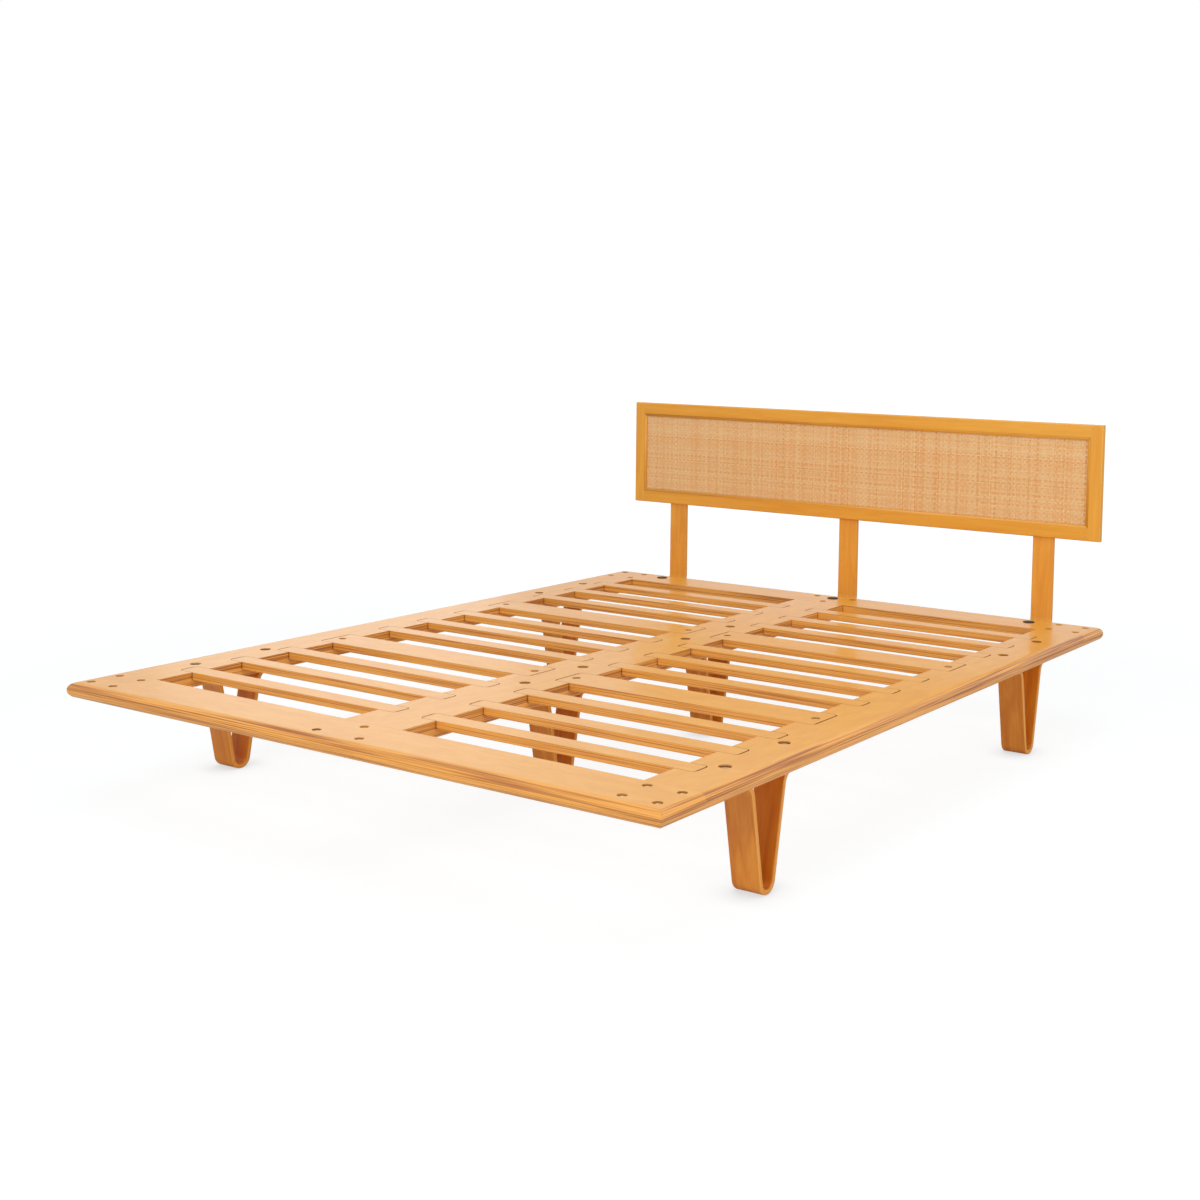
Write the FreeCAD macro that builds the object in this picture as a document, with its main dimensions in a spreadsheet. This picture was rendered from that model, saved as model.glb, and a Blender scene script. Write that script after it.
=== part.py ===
import FreeCAD, Part
import math
import os
import Sketcher

# A bentwood platform bed: lapped plywood rails, flush slats, bent legs and a cane headboard.
# +X runs across the bed, +Y towards the head, +Z up. The origin is on the floor under the middle.

doc = FreeCAD.newDocument("BentwoodBed")
sheet = doc.addObject("Spreadsheet::Sheet", "sizes")

# Driving sizes in millimetres, the splay in degrees
SIZES = (
    ("deck_height", 277, "top of the platform above the floor"),
    ("ply", 18, "one plywood sheet; a slat is one sheet, a rail is two glued together"),
    ("side_rail_width", 140, "side rail, inner edge to rounded outer edge"),
    ("end_rail_width", 143, "foot and head rail, inner edge to rounded outer edge"),
    ("centre_rail_width", 165, "centre rail"),
    ("bay_width", 610, "clear width between the centre rail and a side rail"),
    ("slat_width", 50, "narrow slat"),
    ("wide_slat_width", 106, "screwed slat"),
    ("slat_gap", 102, "open space between two slats"),
    ("slat_lap", 46, "length of the housing that takes a slat's end"),
    ("slat_corner", 8, "rounding of a slat's end corners"),
    ("slat_end_gap", 3.5, "open joint at the end of a slat"),
    ("slat_side_gap", 1, "clearance beside a slat in its housing"),
    ("leg_width", 68, "width of the bent strip"),
    ("leg_thickness", 11, "thickness of the bent strip"),
    ("leg_splay", 10.7, "lean of each arm from the upright"),
    ("leg_toe_radius", 29.5, "outer radius of the bend at the floor"),
    ("leg_toe_flat", 0.6, "depth of the flat sanded under the toe"),
    ("leg_bend_radius", 25, "inner radius where an arm turns out under the rail"),
    ("leg_reach", 135, "middle of the leg to the end of a flange"),
    ("leg_edge_round", 3, "rounding along the strip's edges"),
    ("leg_bolt_spacing", 222, "distance between a leg's two bolts"),
    ("side_leg_inset", 424, "end of the platform to the middle of a side leg"),
    ("centre_leg_inset", 751, "end of the platform to the middle of a centre leg"),
    ("bolt_diameter", 8, "shank of the leg and post bolts"),
    ("bolt_tail", 2, "thread showing below the nut"),
    ("leg_bolt_head_diameter", 22, "round head of a leg bolt"),
    ("leg_bolt_head_height", 4, "height of that head"),
    ("leg_bore_diameter", 27, "counterbore over a leg bolt"),
    ("leg_bore_depth", 7.5, "depth of that counterbore"),
    ("nut_width", 13, "hexagon nut across its flats"),
    ("nut_height", 6.5, "height of the nut"),
    ("hole_gap", 0.25, "clearance all round a shank"),
    ("screw_diameter", 6, "shank of a lap screw"),
    ("screw_skin", 6, "wood left under the tip of a lap screw"),
    ("screw_head_diameter", 18, "round head of a lap screw"),
    ("screw_head_height", 3, "height of that head"),
    ("screw_bore_diameter", 20, "counterbore over a lap screw"),
    ("screw_bore_depth", 6, "depth of that counterbore"),
    ("corner_screw_inset", 25, "inner edges of a corner to its first screw"),
    ("corner_screw_spacing", 78, "side of the square of corner screws"),
    ("lap_screw_inset", 26, "inner edge of an end rail to the single centre screw"),
    ("lap_screw_reach", 102, "inner edge of an end rail to the pair of centre screws"),
    ("lap_screw_spread", 122, "distance between that pair"),
    ("slat_screw_inset", 19, "edge of the bay to a wide slat's screw"),
    ("headboard_width", 1608, "over the stiles"),
    ("headboard_height", 330, "lower edge to top edge"),
    ("headboard_rise", 235, "platform top to the headboard's lower edge"),
    ("headboard_setback", 24, "head rail's outer edge to the headboard's front"),
    ("headboard_thickness", 20, "front to back of the frame"),
    ("frame_width", 36, "face width of stiles and rails"),
    ("frame_round", 4, "rounding of the frame's outer edges"),
    ("rebate_width", 8, "rebate behind the frame's inner edge, for the back board"),
    ("joint_gap", 0.3, "clearance round the back board, at a tenon's end and beside a post"),
    ("tenon_length", 20, "rail tenon in a stile"),
    ("tenon_thickness", 6, "that tenon, front to back"),
    ("tenon_offset", 7, "front of the frame to a tenon"),
    ("tenon_shoulder", 6, "outer edge of a rail to its tenon"),
    ("panel_thickness", 3, "back board"),
    ("panel_gap", 0.5, "back board to the posts behind it"),
    ("cane_thickness", 1.5, "woven cane sheet"),
    ("bead_width", 7, "moulding that holds the cane"),
    ("bead_setback", 0.5, "front of the frame to the moulding"),
    ("bead_round_share", 0.7, "rounding of the moulding's inner front edge, part of its depth"),
    ("post_width", 64, "bent post, across"),
    ("post_thickness", 11, "bent post"),
    ("post_bend_radius", 40, "inner radius of the post's bend"),
    ("post_foot_length", 140, "front of the upright to the end of the foot"),
    ("post_edge_round", 3, "rounding along the post's edges"),
    ("post_top_inset", 12, "top of the headboard to the end of a post"),
    ("post_inset", 170, "end of the headboard to the middle of an outer post"),
    ("post_bolt_inset", 56, "head rail's outer edge to a post bolt"),
    ("post_bolt_head_diameter", 32, "black cap head of a post bolt"),
    ("post_bolt_head_height", 2, "height of that head"),
    ("frame_screw_diameter", 4, "screw from a post into the headboard"),
    ("frame_screw_skin", 3.5, "wood left in front of that screw's tip"),
    ("frame_screw_head_diameter", 8, "its head"),
    ("frame_screw_head_height", 2.5, "height of its head"),
    ("frame_screw_bore_diameter", 9, "counterbore in the post's back"),
    ("frame_screw_bore_depth", 3, "depth of that counterbore"),
    ("frame_screw_spread", 30, "distance between two such screws"),
    ("overrun", 5, "how far a cut runs past the wood"),
)
for row, (alias, size, note) in enumerate(SIZES, start=1):
    sheet.set(f"A{row}", alias)
    sheet.set(f"B{row}", str(size))
    sheet.set(f"C{row}", note)
    sheet.setAlias(f"B{row}", alias)
doc.recompute()

# Slats lie in groups of three narrow ones, with one wide slat between two groups
GROUPS = 3
NARROW_PER_GROUP = 3

# Sizes that follow from the sheet, as expressions
board = "(2 * sizes.ply)"
pitch = "(sizes.slat_width + sizes.slat_gap)"
narrow_group = f"({NARROW_PER_GROUP} * {pitch} + sizes.slat_gap)"
group_pitch = f"({narrow_group} + sizes.wide_slat_width)"
opening_length = f"({GROUPS} * {group_pitch} - sizes.wide_slat_width)"
platform_length = f"({opening_length} + 2 * sizes.end_rail_width)"
bay_inner = "(sizes.centre_rail_width / 2)"
bay_outer = f"({bay_inner} + sizes.bay_width)"
platform_width = f"(2 * {bay_outer} + 2 * sizes.side_rail_width)"
leg_height = f"(sizes.deck_height - {board})"
rear_overhang = "(sizes.headboard_setback + sizes.headboard_thickness)"
platform_middle = f"(-{rear_overhang} / 2)"
head_edge = f"({platform_middle} + {platform_length} / 2)"
headboard_front = f"({head_edge} + sizes.headboard_setback)"
headboard_bottom = "(sizes.deck_height + sizes.headboard_rise)"
inner_x = "(sizes.headboard_width / 2 - sizes.frame_width)"
inner_top = "(sizes.headboard_height - sizes.frame_width)"
panel_front = "(sizes.headboard_thickness - sizes.post_thickness - sizes.panel_gap - sizes.panel_thickness)"
bead_depth = f"({panel_front} - sizes.cane_thickness - sizes.bead_setback)"
post_front = f"({head_edge} + {rear_overhang} - sizes.post_thickness)"
post_bolt_y = f"({head_edge} - sizes.post_bolt_inset)"
bolt_hole = "(sizes.bolt_diameter + 2 * sizes.hole_gap)"
screw_hole = "(sizes.screw_diameter + 2 * sizes.hole_gap)"
screw_tip = f"({board} - sizes.screw_skin)"
frame_screw_hole = "(sizes.frame_screw_diameter + 2 * sizes.hole_gap)"
frame_screw_reach = "(sizes.headboard_thickness - sizes.frame_screw_skin)"
tolerance = "(sizes.hole_gap / 100)"
post_x = "(sizes.headboard_width / 2 - sizes.post_inset)"
POST_PLACES = (f"-{post_x}", "0", post_x)
SLAT_ROWS = [
    [f"({2 * group - GROUPS + 1} * {group_pitch} + ({2 * step - NARROW_PER_GROUP + 1}) * {pitch}) / 2"
     for step in range(NARROW_PER_GROUP)]
    for group in range(GROUPS)
]
WIDE_SLAT_ROWS = [f"({2 * group - GROUPS + 2}) * {group_pitch} / 2" for group in range(GROUPS - 1)]


def value(text):
    """The number that an expression gives with the sheet's sizes."""
    return float(sheet.evalExpression(text))


def new_body(label, x="0", y="0", z="0", turn=0):
    """An empty body, placed by expressions and turned about the upright axis by whole degrees."""
    body = doc.addObject("PartDesign::Body", label)
    body.Label = label
    body.Placement = FreeCAD.Placement(FreeCAD.Vector(), FreeCAD.Rotation(FreeCAD.Vector(0, 0, 1), turn))
    for axis, text in zip("xyz", (x, y, z)):
        body.setExpression(f"Placement.Base.{axis}", text)
    return body


def origin_part(body, role):
    """One of the body's own planes or axes."""
    return next(feature for feature in body.Origin.OriginFeatures if feature.Role == role)


def new_sketch(body, name, plane, level="0"):
    """A sketch on one of the body's planes, lifted along the plane's normal."""
    sketch = body.newObject("Sketcher::SketchObject", f"{body.Name}_{name}")
    sketch.AttachmentSupport = [(origin_part(body, plane), "")]
    sketch.MapMode = "FlatFace"
    sketch.setExpression("AttachmentOffset.Base.z", level)
    return sketch


def pin(sketch, geometry, position, x=None, y=None):
    """Fix a point of the sketch at expressions measured from the sketch's origin."""
    for kind, text in (("DistanceX", x), ("DistanceY", y)):
        if text is not None:
            rule = Sketcher.Constraint(kind, -1, 1, geometry, position, value(text))
            index = sketch.addConstraint(rule)
            sketch.setExpression(f"Constraints[{index}]", text)


def draw_outline(sketch, corners):
    """A closed outline. A corner (x, y) starts a straight edge; (x, y, cx, cy) starts an arc
    of under half a circle about the centre (cx, cy)."""
    points = [FreeCAD.Vector(value(corner[0]), value(corner[1]), 0) for corner in corners]
    edges = []
    for index, corner in enumerate(corners):
        start, end = points[index], points[(index + 1) % len(points)]
        if len(corner) == 2:
            edges.append((sketch.addGeometry(Part.LineSegment(start, end), False), 1, 2))
            continue
        centre = FreeCAD.Vector(value(corner[2]), value(corner[3]), 0)
        from_start, from_end = start - centre, end - centre
        forward = from_start.cross(from_end).z > 0
        first, last = (from_start, from_end) if forward else (from_end, from_start)
        circle = Part.Circle(centre, FreeCAD.Vector(0, 0, 1), from_start.Length)
        arc = Part.ArcOfCircle(circle, math.atan2(first.y, first.x), math.atan2(last.y, last.x))
        edges.append((sketch.addGeometry(arc, False),) + ((1, 2) if forward else (2, 1)))
    for index, (geometry, start_end, _) in enumerate(edges):
        before, _, before_end = edges[index - 1]
        sketch.addConstraint(Sketcher.Constraint("Coincident", before, before_end, geometry, start_end))
    for index, corner in enumerate(corners):
        geometry, start_end, _ = edges[index]
        pin(sketch, geometry, start_end, corner[0], corner[1])
        if len(corner) > 2:
            chord = points[(index + 1) % len(points)] - points[index]
            along_x = abs(chord.y) > abs(chord.x)
            pin(sketch, geometry, 3, corner[2] if along_x else None, None if along_x else corner[3])


def draw_circles(sketch, places, diameter):
    """Circles of one diameter, centred at pairs of expressions."""
    for x, y in places:
        centre = FreeCAD.Vector(value(x), value(y), 0)
        circle = Part.Circle(centre, FreeCAD.Vector(0, 0, 1), value(diameter) / 2)
        geometry = sketch.addGeometry(circle, False)
        pin(sketch, geometry, 3, x, y)
        index = sketch.addConstraint(Sketcher.Constraint("Diameter", geometry, value(diameter)))
        sketch.setExpression(f"Constraints[{index}]", diameter)


def box_corners(low_x, high_x, low_y, high_y):
    """The four corners of a rectangle, as an outline."""
    return [(low_x, low_y), (high_x, low_y), (high_x, high_y), (low_x, high_y)]


def pad(body, sketch, length, symmetric=False, backwards=False):
    """Raise a sketch into wood, to one side or evenly to both."""
    feature = body.newObject("PartDesign::Pad", f"{sketch.Name}_pad")
    feature.Profile = sketch
    feature.SideType = "Symmetric" if symmetric else "One side"
    feature.Reversed = backwards
    feature.setExpression("Length", length)
    doc.recompute()
    return feature


def cut(body, sketch, depth=None, backwards=False):
    """Cut a sketch into the wood, to a depth or right through both ways, and see that it bites."""
    before = body.Shape.Volume
    feature = body.newObject("PartDesign::Pocket", f"{sketch.Name}_cut")
    feature.Profile = sketch
    if depth is None:
        feature.Type = "ThroughAll"
        feature.SideType = "Symmetric"
    else:
        feature.Reversed = backwards
        feature.setExpression("Length", depth)
    doc.recompute()
    if body.Shape.Volume >= before:
        raise ValueError(f"{feature.Name} cuts nothing")
    return feature


def repeat(body, feature, rows):
    """Repeat a cut along the body's length: one or two rows of (count, whole run)."""
    pattern = body.newObject("PartDesign::LinearPattern", f"{feature.Name}_row")
    pattern.Originals = [feature]
    for suffix, (count, run) in zip(("", "2"), rows):
        setattr(pattern, f"Direction{suffix}", (origin_part(body, "Y_Axis"), [""]))
        setattr(pattern, f"Mode{suffix}", "Extent")
        setattr(pattern, f"Occurrences{suffix}", count)
        pattern.setExpression(f"Length{suffix}", run)
    body.Tip = pattern
    doc.recompute()


def round_edges(body, feature, radius, chosen):
    """Round every edge of a feature that passes the test."""
    names = [f"Edge{index}" for index, edge in enumerate(feature.Shape.Edges, start=1) if chosen(edge)]
    fillet = body.newObject("PartDesign::Fillet", f"{feature.Name}_round")
    fillet.Base = (feature, names)
    fillet.setExpression("Radius", radius)
    doc.recompute()


def lies_at(edge, axis, places):
    """Whether both ends of an edge lie at one of the places along an axis."""
    near = value(tolerance)
    spots = [value(place) for place in places]
    ends = [getattr(vertex, axis) for vertex in edge.Vertexes]
    return all(min(abs(end - spot) for spot in spots) < near for end in ends)


def drill(body, name, places, diameter, level="0", depth=None):
    """Round holes down from a level under the body's top, or right through."""
    sketch = new_sketch(body, name, "XY_Plane", level)
    draw_circles(sketch, places, diameter)
    cut(body, sketch, depth)


def half_round_section(across):
    """A rail's section: flat inner edge at zero, full round outer edge at the given width."""
    flat = f"({across} - sizes.ply)"
    return [
        ("0", "0"),
        ("0", f"-{board}"),
        (flat, f"-{board}", flat, "-sizes.ply"),
        (across, "-sizes.ply", flat, "-sizes.ply"),
        (flat, "0"),
    ]


def end_round(end, side, edge_level):
    """The sliver cut off a rail's end so that it carries the platform's rounded edge.
    The end lies at plus or minus the given length, and the sliver at the top or the underside."""
    inner = f"({side}) * ({end} - sizes.ply)"
    outer = f"({side}) * ({end})"
    return [
        (inner, edge_level),
        (outer, edge_level),
        (outer, "-sizes.ply", inner, "-sizes.ply"),
    ]


def housing(width, mouth, bottom, direction):
    """A slat's housing from a rail's edge: round inner corners, open towards the bay."""
    half = f"({width} / 2 + sizes.slat_side_gap)"
    corner = "(sizes.slat_corner + sizes.slat_end_gap)"
    end = f"({bottom})"
    bend = f"({bottom} - ({direction}) * {corner})"
    return [
        (mouth, f"-{half}"),
        (bend, f"-{half}", bend, f"-{half} + {corner}"),
        (end, f"-{half} + {corner}"),
        (end, f"{half} - {corner}", bend, f"{half} - {corner}"),
        (bend, half),
        (mouth, half),
    ]


def cut_housings(body, name, edge, direction):
    """All eleven housings of one bay along a rail's edge, which faces away from the direction."""
    mouth = f"({edge} - ({direction}) * sizes.overrun)"
    bottom = f"({edge} + ({direction}) * sizes.slat_lap)"
    narrow = new_sketch(body, f"{name}_narrow", "XY_Plane")
    draw_outline(narrow, housing("sizes.slat_width", mouth, bottom, direction))
    narrow.setExpression("AttachmentOffset.Base.y", SLAT_ROWS[0][0])
    first = cut(body, narrow, "sizes.ply")
    group_run = f"{NARROW_PER_GROUP - 1} * {pitch}"
    repeat(body, first, ((NARROW_PER_GROUP, group_run), (GROUPS, f"{GROUPS - 1} * {group_pitch}")))
    wide = new_sketch(body, f"{name}_wide", "XY_Plane")
    draw_outline(wide, housing("sizes.wide_slat_width", mouth, bottom, direction))
    wide.setExpression("AttachmentOffset.Base.y", WIDE_SLAT_ROWS[0])
    second = cut(body, wide, "sizes.ply")
    repeat(body, second, ((GROUPS - 1, f"{GROUPS - 2} * {group_pitch}"),))


def cut_end_laps(body):
    """Halve both ends of a long rail: the upper half stops at the opening, the lower half runs out
    under the end rail to the platform's rounded edge."""
    for name, side in (("foot", "-1"), ("head", "1")):
        lap = new_sketch(body, f"{name}_lap", "YZ_Plane")
        shoulder = f"({side}) * {opening_length} / 2"
        past = f"({side}) * ({platform_length} / 2 + sizes.overrun)"
        draw_outline(lap, box_corners(shoulder, past, "-sizes.ply", "sizes.overrun"))
        cut(body, lap)
        nose = new_sketch(body, f"{name}_nose", "YZ_Plane")
        draw_outline(nose, end_round(f"{platform_length} / 2", side, f"-{board}"))
        cut(body, nose)


def both_ways(places):
    """The same places at the foot end and at the head end of a long rail."""
    return [(x, f"({side}) * ({y})") for x, y in places for side in ("-1", "1")]


def leg_bolt_places(x, inset):
    """The four bolt holes of a rail's two legs."""
    leg = f"({platform_length} / 2 - {inset})"
    pair = [(x, f"{leg} + ({side}) * sizes.leg_bolt_spacing / 2") for side in ("-1", "1")]
    return both_ways(pair)


def corner_screws(edge):
    """The square of four screws at a corner, from the bay's edge outwards."""
    steps = ("sizes.corner_screw_inset", "sizes.corner_screw_inset + sizes.corner_screw_spacing")
    return [(f"({edge} + {across})", f"({along})") for across in steps for along in steps]


CENTRE_SCREWS = (
    ("0", "sizes.lap_screw_inset"),
    ("-sizes.lap_screw_spread / 2", "sizes.lap_screw_reach"),
    ("sizes.lap_screw_spread / 2", "sizes.lap_screw_reach"),
)


def drill_legs(body, places):
    """Counterbored bolt holes for the legs under a rail."""
    drill(body, "leg_bore", places, "sizes.leg_bore_diameter", depth="sizes.leg_bore_depth")
    drill(body, "leg_hole", places, bolt_hole)


def drill_pilots(body, lap_places, slat_places):
    """Blind holes for the lap screws and for the wide slats' screws, below the upper sheet."""
    depth = f"{screw_tip} - sizes.ply + sizes.hole_gap"
    drill(body, "lap_pilot", lap_places, screw_hole, "-sizes.ply", depth)
    drill(body, "slat_pilot", slat_places, screw_hole, "-sizes.ply", depth)


def side_rail(label, x, turn):
    """A side rail, drawn with its inner edge at zero; the left one is turned half round.
    It is drilled for an outer post's bolt where that post stands over it."""
    body = new_body(label, x, platform_middle, "sizes.deck_height", turn)
    section = new_sketch(body, "section", "XZ_Plane")
    draw_outline(section, half_round_section("sizes.side_rail_width"))
    pad(body, section, platform_length, symmetric=True)
    cut_end_laps(body)
    cut_housings(body, "bay", "0", "1")
    drill_legs(body, leg_bolt_places("sizes.side_rail_width / 2", "sizes.side_leg_inset"))
    corner = [(x, f"{opening_length} / 2 + {y}") for x, y in corner_screws("0")]
    drill_pilots(body, both_ways(corner), [("sizes.slat_screw_inset", row) for row in WIDE_SLAT_ROWS])
    post_reach = f"({post_x} - {bay_outer})"
    if value(f"{post_reach} + {bolt_hole} / 2") > 0:
        head = "-1" if turn else "1"
        y = f"({head}) * ({platform_length} / 2 - sizes.post_bolt_inset)"
        drill(body, "post_hole", [(post_reach, y)], bolt_hole)
    return body


def centre_rail():
    """The centre rail, housed for slats along both edges."""
    body = new_body("centre_rail", "0", platform_middle, "sizes.deck_height")
    section = new_sketch(body, "section", "XZ_Plane")
    draw_outline(section, box_corners(f"-{bay_inner}", bay_inner, f"-{board}", "0"))
    pad(body, section, platform_length, symmetric=True)
    cut_end_laps(body)
    cut_housings(body, "right_bay", bay_inner, "-1")
    cut_housings(body, "left_bay", f"-{bay_inner}", "1")
    drill_legs(body, leg_bolt_places("0", "sizes.centre_leg_inset"))
    laps = [(x, f"{opening_length} / 2 + {y}") for x, y in CENTRE_SCREWS]
    screw_x = f"({bay_inner} - sizes.slat_screw_inset)"
    slats = [(f"({side}) * {screw_x}", row) for side in ("-1", "1") for row in WIDE_SLAT_ROWS]
    drill_pilots(body, both_ways(laps), slats)
    drill(body, "post_hole", [("0", f"{platform_length} / 2 - sizes.post_bolt_inset")], bolt_hole)
    return body


def end_rail(label, side, turn):
    """The foot or head rail, drawn with its inner edge at zero; the foot rail is turned half round.
    Its lower half is cut away over the three long rails."""
    y = f"{platform_middle} + ({side}) * {opening_length} / 2"
    body = new_body(label, "0", y, "sizes.deck_height", turn)
    section = new_sketch(body, "section", "YZ_Plane")
    draw_outline(section, half_round_section("sizes.end_rail_width"))
    pad(body, section, platform_width, symmetric=True)
    below = f"-({board} + sizes.overrun)"
    past = f"({platform_width} / 2 + sizes.overrun)"
    laps = (
        ("left", f"-{past}", f"-{bay_outer}"),
        ("centre", f"-{bay_inner}", bay_inner),
        ("right", bay_outer, past),
    )
    for name, low, high in laps:
        lap = new_sketch(body, f"{name}_lap", "XZ_Plane")
        draw_outline(lap, box_corners(low, high, below, "-sizes.ply"))
        cut(body, lap)
    for name, way in (("left", "-1"), ("right", "1")):
        nose = new_sketch(body, f"{name}_nose", "XZ_Plane")
        draw_outline(nose, end_round(f"{platform_width} / 2", way, "0"))
        cut(body, nose)
    corners = [(f"({way}) * {x}", y) for x, y in corner_screws(bay_outer) for way in ("-1", "1")]
    places = corners + list(CENTRE_SCREWS)
    drill(body, "screw_bore", places, "sizes.screw_bore_diameter", depth="sizes.screw_bore_depth")
    drill(body, "screw_hole", places, screw_hole)
    return body


def drill_post_bolts(body):
    """Holes through the head rail for the three post bolts."""
    y = "sizes.end_rail_width - sizes.post_bolt_inset"
    drill(body, "post_hole", [(x, y) for x in POST_PLACES], bolt_hole)


def slat(label, x, y, wide):
    """A slat with round end corners, flush with the rails; a wide one is drilled for two screws."""
    body = new_body(label, x, y, "sizes.deck_height")
    half_length = "(sizes.bay_width / 2 + sizes.slat_lap - sizes.slat_end_gap)"
    half_width = "(sizes.wide_slat_width / 2)" if wide else "(sizes.slat_width / 2)"
    bend_x = f"({half_length} - sizes.slat_corner)"
    bend_y = f"({half_width} - sizes.slat_corner)"
    face = new_sketch(body, "face", "XY_Plane")
    draw_outline(face, [
        (f"-{bend_x}", f"-{half_width}"),
        (bend_x, f"-{half_width}", bend_x, f"-{bend_y}"),
        (half_length, f"-{bend_y}"),
        (half_length, bend_y, bend_x, bend_y),
        (bend_x, half_width),
        (f"-{bend_x}", half_width, f"-{bend_x}", bend_y),
        (f"-{half_length}", bend_y),
        (f"-{half_length}", f"-{bend_y}", f"-{bend_x}", f"-{bend_y}"),
    ])
    pad(body, face, "sizes.ply", backwards=True)
    if wide:
        ends = [(f"({side}) * (sizes.bay_width / 2 + sizes.slat_screw_inset)", "0") for side in ("-1", "1")]
        drill(body, "screw_bore", ends, "sizes.screw_bore_diameter", depth="sizes.screw_bore_depth")
        drill(body, "screw_hole", ends, screw_hole)
    return body


def leg_outline():
    """One strip bent into a narrow V: a round toe, two leaning arms and two flanges turned out.
    The half towards the head is listed up along the outside and down again along the inside."""
    sine = "sin(sizes.leg_splay * 1 deg)"
    cosine = "cos(sizes.leg_splay * 1 deg)"
    toe = "(sizes.leg_toe_radius - sizes.leg_toe_flat)"
    bend_z = f"({leg_height} - sizes.leg_thickness - sizes.leg_bend_radius)"
    radii = "(sizes.leg_toe_radius + sizes.leg_bend_radius)"
    bend_y = f"(({radii} + ({bend_z} - {toe}) * {sine}) / {cosine})"
    under = f"({leg_height} - sizes.leg_thickness)"
    arm_top = (f"{bend_y} - sizes.leg_bend_radius * {cosine}", f"{bend_z} + sizes.leg_bend_radius * {sine}")
    outer = [
        (f"sizes.leg_toe_radius * {cosine}", f"{toe} - sizes.leg_toe_radius * {sine}"),
        arm_top + (bend_y, bend_z),
        (bend_y, under),
        ("sizes.leg_reach", under),
    ]
    inner_toe = "(sizes.leg_toe_radius - sizes.leg_thickness)"
    inner_bend = "(sizes.leg_bend_radius + sizes.leg_thickness)"
    inner = [
        ("sizes.leg_reach", leg_height),
        (bend_y, leg_height, bend_y, bend_z),
        (f"{bend_y} - {inner_bend} * {cosine}", f"{bend_z} + {inner_bend} * {sine}"),
        (f"{inner_toe} * {cosine}", f"{toe} - {inner_toe} * {sine}", "0", toe),
    ]
    half = outer + inner
    inner_middle = ("0", f"{toe} - {inner_toe}", "0", toe)
    other_half = mirrored(half)
    other_half[-1] += ("0", toe)
    return half + [inner_middle] + other_half + [("0", "-sizes.leg_toe_flat", "0", toe)]


def mirrored(corners):
    """The same stretch of outline on the other side, walked back. An arc's centre moves to the
    corner where the arc now starts."""
    path = []
    for index in range(len(corners) - 1, -1, -1):
        x, y = corners[index][:2]
        corner = (f"-({x})", y)
        before = corners[index - 1] if index > 0 else ()
        if len(before) > 2:
            corner += (f"-({before[2]})", before[3])
        path.append(corner)
    return path


def round_strip(body, strip, width, radius, *square_ends):
    """Round a bent strip along its length. Each square end is an axis and its places on it."""
    sides = (f"-{width} / 2", f"{width} / 2")

    def along(edge):
        at_end = any(lies_at(edge, axis, places) for axis, *places in square_ends)
        return lies_at(edge, "X", sides) and not at_end

    round_edges(body, strip, radius, along)


def leg(label, x, y):
    """A bent leg under a rail, with one bolt hole in each flange and a flat sanded under its toe."""
    body = new_body(label, x, y)
    section = new_sketch(body, "strip", "YZ_Plane")
    draw_outline(section, leg_outline())
    strip = pad(body, section, "sizes.leg_width", symmetric=True)
    ends = ("Y", "-sizes.leg_reach", "sizes.leg_reach")
    round_strip(body, strip, "sizes.leg_width", "sizes.leg_edge_round", ends)
    floor = new_sketch(body, "floor", "YZ_Plane")
    draw_outline(floor, box_corners("-sizes.leg_toe_radius", "sizes.leg_toe_radius", "-sizes.overrun", "0"))
    cut(body, floor)
    places = [("0", f"({side}) * sizes.leg_bolt_spacing / 2") for side in ("-1", "1")]
    drill(body, "bolt_hole", places, bolt_hole, f"{leg_height} + sizes.overrun",
          "2 * sizes.overrun + sizes.leg_thickness")
    return body


def post(label, x):
    """A strip bent to an L: its foot lies under the head rail, its upright is let into the headboard."""
    body = new_body(label, x, post_front, "sizes.deck_height")
    top = "(sizes.headboard_rise + sizes.headboard_height - sizes.post_top_inset)"
    bend_z = f"(sizes.post_bend_radius - {board})"
    bend = ("-sizes.post_bend_radius", bend_z)
    section = new_sketch(body, "strip", "YZ_Plane")
    draw_outline(section, [
        ("-sizes.post_foot_length", f"-{board}"),
        ("-sizes.post_foot_length", f"-({board} + sizes.post_thickness)"),
        ("-sizes.post_bend_radius", f"-({board} + sizes.post_thickness)") + bend,
        ("sizes.post_thickness", bend_z),
        ("sizes.post_thickness", top),
        ("0", top),
        ("0", bend_z) + bend,
        ("-sizes.post_bend_radius", f"-{board}"),
    ])
    strip = pad(body, section, "sizes.post_width", symmetric=True)
    ends = (("Y", "-sizes.post_foot_length"), ("Z", top))
    round_strip(body, strip, "sizes.post_width", "sizes.post_edge_round", *ends)
    bolt = [("0", f"{post_bolt_y} - {post_front}")]
    drill(body, "bolt_hole", bolt, bolt_hole, f"sizes.overrun - {board}",
          "2 * sizes.overrun + sizes.post_thickness")
    screws = [(sx, f"{z} - sizes.deck_height") for sx, z in frame_screw_places()]
    for name, diameter, depth in (
        ("screw_bore", "sizes.frame_screw_bore_diameter", "sizes.frame_screw_bore_depth"),
        ("screw_hole", frame_screw_hole, "sizes.post_thickness + sizes.overrun"),
    ):
        back = new_sketch(body, name, "XZ_Plane", "-sizes.post_thickness")
        draw_circles(back, screws, diameter)
        cut(body, back, depth, backwards=True)
    return body


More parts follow.
